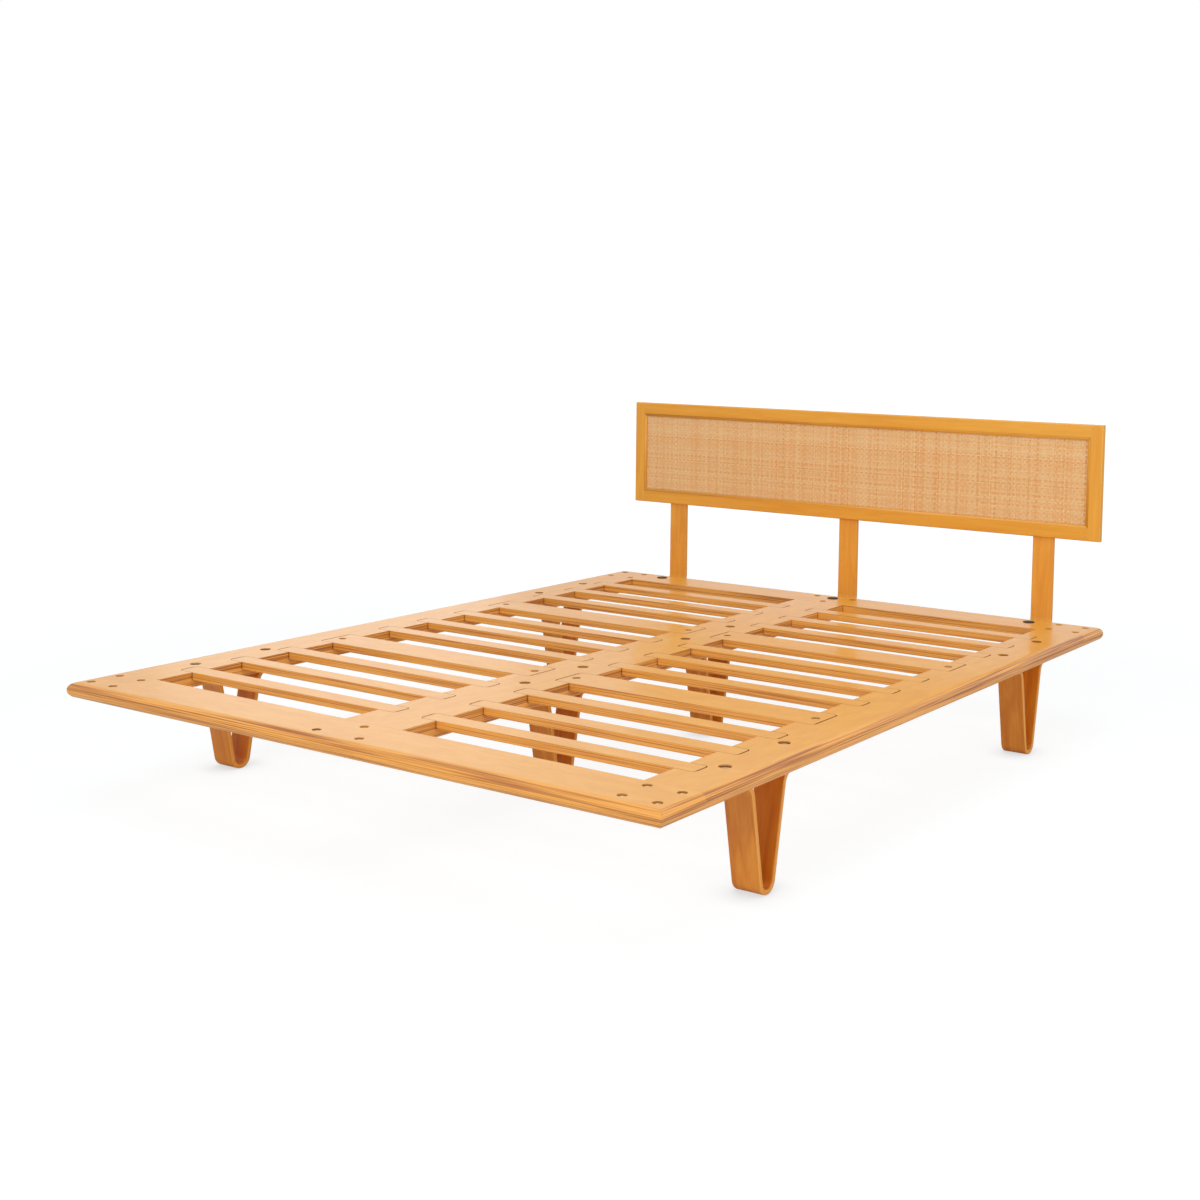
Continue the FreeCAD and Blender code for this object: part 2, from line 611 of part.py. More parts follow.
def frame_screw_places():
    """The four screws of a post, across and above the floor: a pair into each headboard rail."""
    solid = "(sizes.frame_width - sizes.rebate_width)"
    lower = f"({headboard_bottom} + {solid} / 2)"
    upper = f"({headboard_bottom} + sizes.headboard_height - ({solid} + sizes.post_top_inset) / 2)"
    return [(f"({side}) * sizes.frame_screw_spread / 2", z) for z in (lower, upper) for side in ("-1", "1")]


def headboard_body(label):
    """A headboard piece, drawn from the middle of the headboard's lower front edge."""
    return new_body(label, "0", headboard_front, headboard_bottom)


def slab(label, outline, level, thickness):
    """A flat piece of the headboard that starts a given depth behind the frame's front."""
    body = headboard_body(label)
    face = new_sketch(body, "face", "XZ_Plane", f"-({level})")
    draw_outline(face, outline)
    return body, pad(body, face, thickness, backwards=True)


def lies_on_face(edge, axis, kept):
    """Whether an edge runs along the headboard's front or back face, but not at its inner edge."""
    faces = any(lies_at(edge, "Y", (face,)) for face in ("0", "sizes.headboard_thickness"))
    return faces and not lies_at(edge, axis, (kept,))


def headboard_stile(label, side):
    """An upright of the frame, rounded along its outer edges. A stopped rebate behind its inner edge
    takes the back board, and a mortise near each end takes a rail's tenon."""
    outer = f"({side}) * sizes.headboard_width / 2"
    inner = f"({side}) * {inner_x}"
    outline = box_corners(inner, outer, "0", "sizes.headboard_height")
    body, wood = slab(label, outline, "0", "sizes.headboard_thickness")
    round_edges(body, wood, "sizes.frame_round", lambda edge: lies_on_face(edge, "X", inner))
    mouth = f"({side}) * ({inner_x} - sizes.overrun)"
    rebate = new_sketch(body, "rebate", "XZ_Plane", "-sizes.headboard_thickness")
    rebate_bottom = f"({side}) * ({inner_x} + sizes.rebate_width)"
    low = "(sizes.frame_width - sizes.rebate_width)"
    high = f"(sizes.headboard_height - {low})"
    draw_outline(rebate, box_corners(mouth, rebate_bottom, low, high))
    cut(body, rebate, f"sizes.headboard_thickness - {panel_front}", backwards=True)
    mortises = new_sketch(body, "mortises", "XZ_Plane", "-sizes.tenon_offset")
    mortise_bottom = f"({side}) * ({inner_x} + sizes.tenon_length + sizes.joint_gap)"
    top_shoulder = "(sizes.headboard_height - sizes.tenon_shoulder)"
    for start, end in (("sizes.tenon_shoulder", low), (high, top_shoulder)):
        draw_outline(mortises, box_corners(mouth, mortise_bottom, start, end))
    cut(body, mortises, "sizes.tenon_thickness")
    return body


def headboard_rail(label, outer, inward, post_end):
    """A rail of the frame between the stiles: a tenon at each end, a rebate for the back board and
    three slots in its back for the posts. Inward is +1 where the panel lies above the rail."""
    inner = f"({outer} + ({inward}) * sizes.frame_width)"
    outline = box_corners(f"-{inner_x}", inner_x, inner, outer)
    body, wood = slab(label, outline, "0", "sizes.headboard_thickness")

    def outer_edge(edge):
        return lies_on_face(edge, "Z", inner) and lies_at(edge, "Z", (outer,))

    round_edges(body, wood, "sizes.frame_round", outer_edge)
    rebate_bottom = f"({inner} - ({inward}) * sizes.rebate_width)"
    shoulder = f"({outer} + ({inward}) * sizes.tenon_shoulder)"
    tenons = new_sketch(body, "tenons", "XZ_Plane", "-sizes.tenon_offset")
    for way in ("-", ""):
        tip = f"{way}({inner_x} + sizes.tenon_length)"
        draw_outline(tenons, box_corners(f"{way}{inner_x}", tip, shoulder, rebate_bottom))
    pad(body, tenons, "sizes.tenon_thickness", backwards=True)
    mouth = f"({inner} + ({inward}) * sizes.overrun)"
    rebate = new_sketch(body, "rebate", "YZ_Plane")
    past = "(sizes.headboard_thickness + sizes.overrun)"
    draw_outline(rebate, box_corners(panel_front, past, rebate_bottom, mouth))
    cut(body, rebate)
    slots = new_sketch(body, "post_slots", "XZ_Plane", "-sizes.headboard_thickness")
    half = "(sizes.post_width / 2 + sizes.joint_gap)"
    for x in POST_PLACES:
        draw_outline(slots, box_corners(f"{x} - {half}", f"{x} + {half}", mouth, post_end))
    cut(body, slots, "sizes.post_thickness", backwards=True)
    holes = new_sketch(body, "screw_holes", "XZ_Plane", "-sizes.headboard_thickness")
    rows = [place for place in frame_screw_places() if rail_holds(place, outer, inner)]
    places = [(f"{x} + {sx}", f"{z} - {headboard_bottom}") for x in POST_PLACES for sx, z in rows]
    draw_circles(holes, places, frame_screw_hole)
    cut(body, holes, f"{frame_screw_reach} + sizes.hole_gap", backwards=True)
    return body


def rail_holds(place, outer, inner):
    """Whether a post's screw goes into the rail between two levels of the headboard."""
    level = value(f"{place[1]} - {headboard_bottom}")
    return min(value(outer), value(inner)) < level < max(value(outer), value(inner))


def bead(label, outline, kept):
    """A mitred strip of the moulding in front of the cane, rounded along its inner front edge.
    Kept gives the axis and the place of that edge."""
    body, strip = slab(label, outline, "sizes.bead_setback", bead_depth)
    axis, place = kept

    def inner_front(edge):
        return lies_at(edge, axis, (place,)) and lies_at(edge, "Y", ("sizes.bead_setback",))

    round_edges(body, strip, f"sizes.bead_round_share * {bead_depth}", inner_front)
    return body


def headboard_beads():
    """Four beads, mitred at the corners of the panel's opening."""
    far_x = f"({inner_x} - sizes.bead_width)"
    low, high = "sizes.frame_width", inner_top
    far_low, far_high = "(sizes.frame_width + sizes.bead_width)", f"({inner_top} - sizes.bead_width)"
    beads = [
        bead("headboard_bead_bottom", [(f"-{inner_x}", low), (inner_x, low), (far_x, far_low),
                                       (f"-{far_x}", far_low)], ("Z", far_low)),
        bead("headboard_bead_top", [(f"-{inner_x}", high), (inner_x, high), (far_x, far_high),
                                    (f"-{far_x}", far_high)], ("Z", far_high)),
    ]
    for name, way in (("left", "-"), ("right", "")):
        outline = [(f"{way}{inner_x}", low), (f"{way}{inner_x}", high), (f"{way}{far_x}", far_high),
                   (f"{way}{far_x}", far_low)]
        beads.append(bead(f"headboard_bead_{name}", outline, ("X", f"{way}{far_x}")))
    return beads


def headboard_panel():
    """The cane sheet behind the beads and the back board in the frame's rebates."""
    cane_x = f"({inner_x} - sizes.joint_gap)"
    cane_low = "(sizes.frame_width + sizes.joint_gap)"
    cane_high = f"({inner_top} - sizes.joint_gap)"
    cane, _ = slab("cane_panel", box_corners(f"-{cane_x}", cane_x, cane_low, cane_high),
                   f"{panel_front} - sizes.cane_thickness", "sizes.cane_thickness")
    let_in = "(sizes.rebate_width - sizes.joint_gap)"
    board_x = f"({inner_x} + {let_in})"
    board_low = f"(sizes.frame_width - {let_in})"
    outline = box_corners(f"-{board_x}", board_x, board_low, f"({inner_top} + {let_in})")
    back, _ = slab("headboard_back_board", outline, panel_front, "sizes.panel_thickness")
    return [cane, back]


def fastener(name, shank, length, head, height):
    """A round-headed screw or bolt, turned about its axis, with the underside of its head at zero."""
    body = new_body(name)
    profile = new_sketch(body, "profile", "XZ_Plane")
    draw_outline(profile, [
        ("0", f"-({length})"),
        (f"{shank} / 2", f"-({length})"),
        (f"{shank} / 2", "0"),
        (f"{head} / 2", "0"),
        (f"{head} / 2", height),
        ("0", height),
    ])
    turned = body.newObject("PartDesign::Revolution", f"{name}_turned")
    turned.Profile = profile
    turned.ReferenceAxis = (profile, ["V_Axis"])
    doc.recompute()
    return body


def hexagon_nut(name):
    """A nut with its top face at zero."""
    body = new_body(name)
    face = new_sketch(body, "face", "XY_Plane")
    corner = "(sizes.nut_width / 2 / cos(30 deg))"
    angles = [f"{60 * corner_number} deg" for corner_number in range(6)]
    draw_outline(face, [(f"{corner} * cos({angle})", f"{corner} * sin({angle})") for angle in angles])
    draw_circles(face, [("0", "0")], bolt_hole)
    pad(body, face, "sizes.nut_height", backwards=True)
    return body


def group(label, pattern, places, turn=FreeCAD.Rotation()):
    """Copies of one fastener at places on the bed, kept as separate solids in one node."""
    copies = []
    for place in places:
        spot = FreeCAD.Vector(*(value(text) for text in place))
        copy = pattern.Shape.copy()
        copy.Placement = FreeCAD.Placement(spot, turn)
        copies.append(copy)
    feature = doc.addObject("Part::Feature", label)
    feature.Label = label
    feature.Shape = Part.makeCompound(copies)
    feature.Placement = FreeCAD.Placement()
    return feature


def lap_screw_places():
    """Every screw that joins an end rail to the three long rails."""
    level = "sizes.deck_height - sizes.screw_bore_depth"
    corners = [(f"({way}) * {x}", y) for x, y in corner_screws(bay_outer) for way in ("-1", "1")]
    return [
        (x, f"{platform_middle} + ({side}) * ({opening_length} / 2 + {y})", level)
        for x, y in corners + list(CENTRE_SCREWS)
        for side in ("-1", "1")
    ]


def slat_screw_places():
    """A screw at each end of each wide slat."""
    level = "sizes.deck_height - sizes.screw_bore_depth"
    across = (f"{bay_outer} + sizes.slat_screw_inset", f"{bay_inner} - sizes.slat_screw_inset")
    return [
        (f"({way}) * ({x})", f"{platform_middle} + {row}", level)
        for x in across
        for way in ("-1", "1")
        for row in WIDE_SLAT_ROWS
    ]


LEGS = (
    ("leg_foot_left", "-1", "-1", "sizes.side_leg_inset"),
    ("leg_foot_right", "1", "-1", "sizes.side_leg_inset"),
    ("leg_head_left", "-1", "1", "sizes.side_leg_inset"),
    ("leg_head_right", "1", "1", "sizes.side_leg_inset"),
    ("leg_centre_foot", "0", "-1", "sizes.centre_leg_inset"),
    ("leg_centre_head", "0", "1", "sizes.centre_leg_inset"),
)


def leg_middle(across, along, inset):
    """Where the middle of a leg stands, across and along the bed."""
    x = f"({across}) * ({bay_outer} + sizes.side_rail_width / 2)"
    y = f"({platform_middle} + ({along}) * ({platform_length} / 2 - {inset}))"
    return x, y


def leg_bolt_spots(level):
    """Every leg bolt at a level above the floor."""
    spots = []
    for _, across, along, inset in LEGS:
        x, y = leg_middle(across, along, inset)
        spots += [(x, f"{y} + ({side}) * sizes.leg_bolt_spacing / 2", level) for side in ("-1", "1")]
    return spots


# The platform
parts = [
    side_rail("side_rail_right", bay_outer, 0),
    side_rail("side_rail_left", f"-{bay_outer}", 180),
    centre_rail(),
    end_rail("foot_rail", "-1", 180),
]
head_rail = end_rail("head_rail", "1", 0)
drill_post_bolts(head_rail)
parts.append(head_rail)

# The slats, numbered from the foot, a wide one after each group but the last
for bay, way in (("left", "-1"), ("right", "1")):
    middle_x = f"({way}) * ({bay_inner} + {bay_outer}) / 2"
    number = 0
    for narrow_rows, wide_row in zip(SLAT_ROWS, WIDE_SLAT_ROWS + [None]):
        for row in narrow_rows:
            number += 1
            parts.append(slat(f"slat_{bay}_{number}", middle_x, f"{platform_middle} + {row}", False))
        if wide_row:
            number += 1
            y = f"{platform_middle} + {wide_row}"
            parts.append(slat(f"wide_slat_{bay}_{number}", middle_x, y, True))

# The legs and the headboard
for label, across, along, inset in LEGS:
    parts.append(leg(label, *leg_middle(across, along, inset)))
for label, x in zip(("headboard_post_left", "headboard_post_centre", "headboard_post_right"), POST_PLACES):
    parts.append(post(label, x))
parts.append(headboard_stile("headboard_stile_left", "-1"))
parts.append(headboard_stile("headboard_stile_right", "1"))
parts.append(headboard_rail("headboard_bottom_rail", "0", "1", "-sizes.overrun"))
post_end = "sizes.headboard_height - sizes.post_top_inset + sizes.joint_gap"
parts.append(headboard_rail("headboard_top_rail", "sizes.headboard_height", "-1", post_end))
parts += headboard_beads()
parts += headboard_panel()

# The fasteners, one node for each kind
lap_screw = fastener("lap_screw", "sizes.screw_diameter", f"{screw_tip} - sizes.screw_bore_depth",
                     "sizes.screw_head_diameter", "sizes.screw_head_height")
parts.append(group("lap_screws", lap_screw, lap_screw_places()))
parts.append(group("slat_screws", lap_screw, slat_screw_places()))
nut_drop = "sizes.nut_height + sizes.bolt_tail"
leg_bolt = fastener("leg_bolt", "sizes.bolt_diameter",
                    f"{board} - sizes.leg_bore_depth + sizes.leg_thickness + {nut_drop}",
                    "sizes.leg_bolt_head_diameter", "sizes.leg_bolt_head_height")
nut = hexagon_nut("nut")
parts.append(group("leg_bolts", leg_bolt, leg_bolt_spots("sizes.deck_height - sizes.leg_bore_depth")))
parts.append(group("leg_nuts", nut, leg_bolt_spots(f"{leg_height} - sizes.leg_thickness")))
post_bolt = fastener("post_bolt", "sizes.bolt_diameter",
                     f"{board} + sizes.post_thickness + {nut_drop}",
                     "sizes.post_bolt_head_diameter", "sizes.post_bolt_head_height")
parts.append(group("post_bolts", post_bolt, [(x, post_bolt_y, "sizes.deck_height") for x in POST_PLACES]))
foot_underside = f"{leg_height} - sizes.post_thickness"
parts.append(group("post_nuts", nut, [(x, post_bolt_y, foot_underside) for x in POST_PLACES]))
frame_screw = fastener("frame_screw", "sizes.frame_screw_diameter",
                       f"{frame_screw_reach} - sizes.frame_screw_bore_depth",
                       "sizes.frame_screw_head_diameter", "sizes.frame_screw_head_height")
from_behind = FreeCAD.Rotation(FreeCAD.Vector(0, 0, 1), FreeCAD.Vector(0, 1, 0))
screw_y = f"{head_edge} + {rear_overhang} - sizes.frame_screw_bore_depth"
spots = [(f"{x} + {sx}", screw_y, z) for x in POST_PLACES for sx, z in frame_screw_places()]
parts.append(group("headboard_screws", frame_screw, spots, from_behind))
doc.recompute()

# Nothing is written unless every piece is sound
for item in doc.Objects:
    if "Invalid" in item.State or "Error" in item.State:
        raise RuntimeError(f"{item.Label} failed: {item.State}")
for item in parts:
    if item.Shape.isNull() or not item.Shape.isValid():
        raise RuntimeError(f"{item.Label} has no valid shape")

os.makedirs("parts", exist_ok=True)
for item in parts:
    item.Shape.exportStep(f"parts/{item.Label}.step")
    print(f"{item.Label}: {len(item.Shape.Solids)} solids, {item.Shape.Volume:.0f} mm3")
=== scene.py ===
# %% [markdown]
# # A bentwood bed
# The bed is a flat plywood platform on six bent legs, with a cane headboard on three bent posts.
# The CAD model comes in first as a fixed frame, in metres. Its plain pieces stay and get their finish here.
# The bent strips, the beads, the cane and the screw heads are made again as finer surfaces
# in the same places.

# %% Load the frame
import bpy
import numpy as np
from mathutils import Matrix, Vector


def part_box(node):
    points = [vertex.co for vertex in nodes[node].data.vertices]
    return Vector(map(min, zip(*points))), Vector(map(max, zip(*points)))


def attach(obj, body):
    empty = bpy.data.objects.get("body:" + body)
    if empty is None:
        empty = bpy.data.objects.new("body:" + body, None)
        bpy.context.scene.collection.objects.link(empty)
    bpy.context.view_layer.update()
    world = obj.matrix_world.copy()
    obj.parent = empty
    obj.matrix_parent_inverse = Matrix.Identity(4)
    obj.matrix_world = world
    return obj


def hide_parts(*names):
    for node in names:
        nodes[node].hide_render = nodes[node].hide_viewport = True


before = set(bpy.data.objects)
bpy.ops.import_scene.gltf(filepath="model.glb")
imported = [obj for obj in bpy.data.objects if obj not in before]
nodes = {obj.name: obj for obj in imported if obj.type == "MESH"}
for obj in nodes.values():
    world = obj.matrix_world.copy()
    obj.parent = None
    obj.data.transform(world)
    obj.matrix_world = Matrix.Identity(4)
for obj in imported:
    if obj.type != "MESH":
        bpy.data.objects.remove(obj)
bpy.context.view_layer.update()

# %% [markdown]
# ## Camera
# The view is from the right of the foot end, about 1.1 m above the floor.
# The place, the turn and the lens were solved from the lines of the slats and rails in the picture,
# and from the corners of the platform and the headboard.
# The optical centre is off the picture's middle, as in a crop, and the camera's shift gives that.

# %% Camera
PICTURE = 1200
FOCAL_PIXELS = 1671.916
OPTICAL_CENTRE = (669.352, 460.017)
SENSOR_MM = 36
CAMERA_PLACE = (2.4408, -3.4466, 1.1401)
azimuth, elevation, roll = np.radians([34.4195, 5.0295, 0.7327])

level = np.array([np.cos(azimuth), np.sin(azimuth), 0])
ahead = np.array([-np.sin(azimuth), np.cos(azimuth), 0])
forward = np.cos(elevation) * ahead - np.sin(elevation) * np.array([0, 0, 1])
upward = np.cross(level, forward)
turned = np.column_stack([
    np.cos(roll) * level + np.sin(roll) * upward,
    np.cos(roll) * upward - np.sin(roll) * level,
    -forward,
])
lens = bpy.data.cameras.new("camera")
lens.sensor_width = SENSOR_MM
lens.lens = FOCAL_PIXELS / PICTURE * SENSOR_MM
lens.shift_x = 0.5 - OPTICAL_CENTRE[0] / PICTURE
lens.shift_y = OPTICAL_CENTRE[1] / PICTURE - 0.5
camera = bpy.data.objects.new("camera", lens)
camera.matrix_world = Matrix.Translation(CAMERA_PLACE) @ Matrix(turned.tolist()).to_4x4()
bpy.context.collection.objects.link(camera)
bpy.context.scene.camera = camera
print("lens of", round(lens.lens, 2), "mm")

# %% [markdown]
# ## Colours and nodes
# Colours are written as they look on a screen, and Blender mixes light in linear values,
# so one function turns the first into the second.
# One more function adds a node, sets it and links it, and every material below is built with it.

# %% Colours and nodes
def linear(colour):
    """A screen colour such as #C08040 as linear red, green and blue, with full cover."""
    screen = np.array([int(colour[i:i + 2], 16) for i in (1, 3, 5)]) / 255
    light = np.where(screen <= 0.04045, screen / 12.92, ((screen + 0.055) / 1.055) ** 2.4)
    return (*light.tolist(), 1.0)


def add(tree, kind, inputs=None, **settings):
    """One node: settings are its own properties, and inputs give its sockets a value or a link."""
    node = tree.nodes.new(kind)
    for name, setting in settings.items():
        setattr(node, name, setting)
    for socket, source in (inputs or {}).items():
        if isinstance(source, bpy.types.NodeSocket):
            tree.links.new(source, node.inputs[socket])
        else:
            node.inputs[socket].default_value = source
    return node


def per_mm(x, y, z):
    """The Mapping scale at which a pattern's cell is x, y and z millimetres."""
    return (1000 / x, 1000 / y, 1000 / z)


WHITE = (1, 1, 1, 1)
print("#C08040 is", np.round(linear("#C08040")[:3], 3), "in linear light")

# %% [markdown]
# ## The white room
# The room is a white studio. It is white to the camera and in every reflection,
# and it lights the bed with less than that, so that the lamps can shape the wood.

# %% The white room
ROOM_LIGHT = 0.42

scene = bpy.context.scene
scene.view_settings.view_transform = "Standard"
world = bpy.data.worlds.new("white studio")
world.use_nodes = True
scene.world = world
sky = world.node_tree
sky.nodes.clear()
ray = add(sky, "ShaderNodeLightPath").outputs
seen = add(sky, "ShaderNodeMath", {0: ray["Is Camera Ray"], 1: ray["Is Glossy Ray"]}, operation="MAXIMUM")
seen = add(sky, "ShaderNodeMath", {0: seen.outputs[0], 1: ray["Is Transmission Ray"]}, operation="MAXIMUM")
strength = add(sky, "ShaderNodeMapRange", {"Value": seen.outputs[0], "To Min": ROOM_LIGHT, "To Max": 1.0})
glow = add(sky, "ShaderNodeBackground", {"Color": WHITE, "Strength": strength.outputs[0]})
add(sky, "ShaderNodeOutputWorld", {"Surface": glow.outputs[0]})
print("a room that is white to the eye and gives", ROOM_LIGHT, "of that as light")

# %% [markdown]
# ## Lamps
# A large lamp hangs over the bed, one stands in front of the foot end and one on the right.
# A low lamp at the back on the left shines along the deck,
# and its light glances off the lacquer towards the camera.

# %% Lamps
GUIDE = (0.0, 1.0, 0.001)


def soft_lamp(name, place, aim, size, watts):
    """A square lamp with its face turned from its place towards a point.
    One of its edges lies at right angles to that direction and to the guide."""
    lamp = bpy.data.lights.new(name, "AREA")
    lamp.size, lamp.energy = size, watts
    lit = bpy.data.objects.new(name, lamp)
    ahead = np.subtract(aim, place)
    side = np.cross(ahead, GUIDE)
    side, ahead = side / np.linalg.norm(side), ahead / np.linalg.norm(ahead)
    turned = np.column_stack([side, np.cross(-ahead, side), -ahead])
    lit.matrix_world = Matrix.Translation(place) @ Matrix(turned.tolist()).to_4x4()
    bpy.context.collection.objects.link(lit)


soft_lamp("overhead", place=(0.4, -0.2, 3.4), aim=(0, 0, 0.3), size=3.2, watts=41)
soft_lamp("front", place=(0.6, -4.8, 2.2), aim=(0.2, 0, 0.4), size=2.6, watts=86)
soft_lamp("right", place=(4.6, -0.6, 1.3), aim=(0, -0.2, 0.3), size=2.0, watts=50)
soft_lamp("low back", place=(-4.6, 3.4, 1.15), aim=(0, 0, 0.3), size=2.0, watts=8)
print(len(bpy.data.lights), "lamps")

# %% [markdown]
# ## Floor
# The floor shows as white to the camera, yet it still takes a faint shadow
# and throws light back up under the bed.
# It grows a little brighter away from the bed, as a white sweep does under its own lights.
# Close to each toe a painted contact shadow darkens it, by how little open space there is above it.

# %% Floor
FLOOR_HALF = 30
NEAR, FAR = 2.0, 5.0
NEAR_WHITE = 0.88
TOE_REACH = 0.07
TOE_SHADE = 0.74

floor_finish = bpy.data.materials.new("white studio floor")
floor_finish.use_nodes = True
tree = floor_finish.node_tree
tree.nodes.clear()
ray = add(tree, "ShaderNodeLightPath")
shade = add(tree, "ShaderNodeBsdfDiffuse", {"Color": (0.15, 0.17, 0.18, 1)})
place = add(tree, "ShaderNodeTexCoord").outputs["Object"]
away = add(tree, "ShaderNodeVectorMath", {0: place}, operation="LENGTH")
sweep = add(tree, "ShaderNodeMapRange", {
    "Value": away.outputs["Value"], "From Min": NEAR, "From Max": FAR, "To Min": NEAR_WHITE, "To Max": 1.0})
# Painted contact shadow: the floor's glow dims close to the toes.
room = add(tree, "ShaderNodeAmbientOcclusion", {"Distance": TOE_REACH}, samples=8)
painted_toe_shadow = add(tree, "ShaderNodeMapRange", {
    "Value": room.outputs["AO"], "From Min": 0.4, "From Max": 1.0, "To Min": TOE_SHADE, "To Max": 1.0})
lit = add(tree, "ShaderNodeMath", {0: sweep.outputs[0], 1: painted_toe_shadow.outputs[0]}, operation="MULTIPLY")
plain = add(tree, "ShaderNodeEmission", {"Color": WHITE, "Strength": lit.outputs[0]})
shown = add(tree, "ShaderNodeAddShader", {0: shade.outputs[0], 1: plain.outputs[0]})
bounce = add(tree, "ShaderNodeBsdfDiffuse", {"Color": (0.8, 0.8, 0.8, 1)})
both = add(tree, "ShaderNodeMixShader", {
    0: ray.outputs["Is Camera Ray"], 1: bounce.outputs[0], 2: shown.outputs[0]})
add(tree, "ShaderNodeOutputMaterial", {"Surface": both.outputs[0]})

corners = np.array([(-1, -1, 0), (1, -1, 0), (1, 1, 0), (-1, 1, 0)]) * FLOOR_HALF
floor_mesh = bpy.data.meshes.new("floor")
floor_mesh.from_pydata(corners.tolist(), [], [(0, 1, 2, 3)])
floor_mesh.materials.append(floor_finish)
floor = bpy.data.objects.new("floor", floor_mesh)
bpy.context.collection.objects.link(floor)
print("floor of", 2 * FLOOR_HALF, "m")

# %% [markdown]
# ## Finishes
# A finish starts from Blender's plain surface shader. Numbers that are the same all over
# go straight on its sockets, and patterns are linked to its colour, its relief and its gloss.

# %% Finishes
def new_finish(name, **sockets):
    """A material with the plain numbers of its surface set on the shader, one for each socket named."""
    finish = bpy.data.materials.new(name)
    finish.use_nodes = True
    shader = finish.node_tree.nodes["Principled BSDF"]
    for socket, number in sockets.items():
        shader.inputs[socket.replace("_", " ").title()].default_value = number
    return finish, finish.node_tree, shader


def cover(tree, shader, colour, relief, gloss):
    """Patterns linked to the shader: a colour, a relief as its normal and a gloss as its roughness."""
    tree.links.new(colour, shader.inputs["Base Color"])
    tree.links.new(relief, shader.inputs["Normal"])
    tree.links.new(gloss, shader.inputs["Roughness"])


def dress(name, finish):
    """One finish on a CAD node, in place of its plain one."""
    nodes[name].data.materials.clear()
    nodes[name].data.materials.append(finish)


print("finishes ready")

# %% [markdown]
# ## Wood grain
# Peeled and sliced veneer shows fine fibre lines about 2 mm apart,
# over a broad watery figure 26 to 60 mm wide. Both are noise drawn out along the grain,
# so one function gives every wood here its colour and its fine relief.
# A second function darkens the wood in narrow places: dust gathers there, and painted shade stands for the
# little light that reaches them.
# A third one softens the sharp edges for the light and gives them a tone: gathered lacquer on the plywood,
# and on the beech a paler tone that is partly wear and partly a painted highlight.

# %% Wood grain
RELIEF = 0.0002


def grain(tree, place, fibre, figure, pale, deep, line):
    """Two stretched noises: the figure mixes the pale and the deep tone,
    and the fibres lay thin lines over them."""
    broad = add(tree, "ShaderNodeMapping", {"Vector": place, "Scale": per_mm(*figure)})
    broad = add(tree, "ShaderNodeTexNoise", {
        "Vector": broad.outputs[0], "Scale": 1.0, "Detail": 3.0, "Roughness": 0.55, "Distortion": 0.9})
    share = add(tree, "ShaderNodeMapRange", {
        "Value": broad.outputs["Fac"], "From Min": 0.32, "From Max": 0.68})
    tone = add(tree, "ShaderNodeMix", {
        0: share.outputs[0], 6: linear(pale), 7: linear(deep)}, data_type="RGBA")
    fine = add(tree, "ShaderNodeMapping", {"Vector": place, "Scale": per_mm(*fibre)})
    fine = add(tree, "ShaderNodeTexNoise", {
        "Vector": fine.outputs[0], "Scale": 1.0, "Detail": 4.0, "Roughness": 0.6})
    thin = add(tree, "ShaderNodeMapRange", {
        "Value": fine.outputs["Fac"], "From Min": 0.45, "From Max": 0.8, "To Max": 0.3})
    lined = add(tree, "ShaderNodeMix", {
        0: thin.outputs[0], 6: tone.outputs[2], 7: linear(line)}, data_type="RGBA")
    return lined.outputs[2], fine.outputs["Fac"]


def dust_and_painted_shade(tree, colour, reach, tone):
    """Dust and painted shade: the less open space there is within reach, the more of the tone."""
    room = add(tree, "ShaderNodeAmbientOcclusion", {"Distance": reach}, samples=4)
    share = add(tree, "ShaderNodeMapRange", {
        "Value": room.outputs["AO"], "From Min": 0.8, "From Max": 0.4, "To Max": 0.85})
    mixed = add(tree, "ShaderNodeMix", {0: share.outputs[0], 6: colour, 7: linear(tone)}, data_type="RGBA")
    return mixed.outputs[2]


def edged(tree, colour, radius, share, tone):
    """Where the softened surface direction leaves the true one, their dot product falls below 1,
    and up to the given share of the tone is mixed in. Returns the colour and the softened direction."""
    soft = add(tree, "ShaderNodeBevel", {"Radius": radius}, samples=4).outputs[0]
    true = add(tree, "ShaderNodeNewGeometry").outputs["Normal"]
    same = add(tree, "ShaderNodeVectorMath", {0: soft, 1: true}, operation="DOT_PRODUCT")
    sharp = add(tree, "ShaderNodeMapRange", {
        "Value": same.outputs["Value"], "From Min": 0.99, "From Max": 0.8, "To Max": share})
    mixed = add(tree, "ShaderNodeMix", {0: sharp.outputs[0], 6: colour, 7: linear(tone)}, data_type="RGBA")
    return mixed.outputs[2], soft


print("grain ready")

# %% [markdown]
# ## Plywood
# The platform is birch plywood under a satin lacquer. Its faces show peeled veneer,
# and its cut edges show the plies. The plies lie level in the sheet, so their lines depend on height alone
# and bend by themselves round the rounded edge.
# A rail is two sheets glued together. The upper one is darker at its edge: painted shade, as the lower one
# takes more light thrown up from the floor. On the slats, which lie wholly above the glue line, the same
# painted shade darkens the whole edge a little.
# The sharp edges are softened a little, and lacquer gathers there and darkens them.
# A real ply is about 1.4 mm. It is drawn at 2 mm, because finer lines would not show at this distance.

# %% Plywood
PLY_MM = 2.0
PLY_SHARE = 0.06
STREAK_MM = (300, 300, 2.8)
SHEET = 0.018
GLUE_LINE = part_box("foot_rail")[1].z - SHEET
GLUE_BLUR = 0.0015
SOFT_EDGE = 0.0012
NARROW = 0.006
LEVEL_FROM, LEVEL_TO = 0.9, 0.96


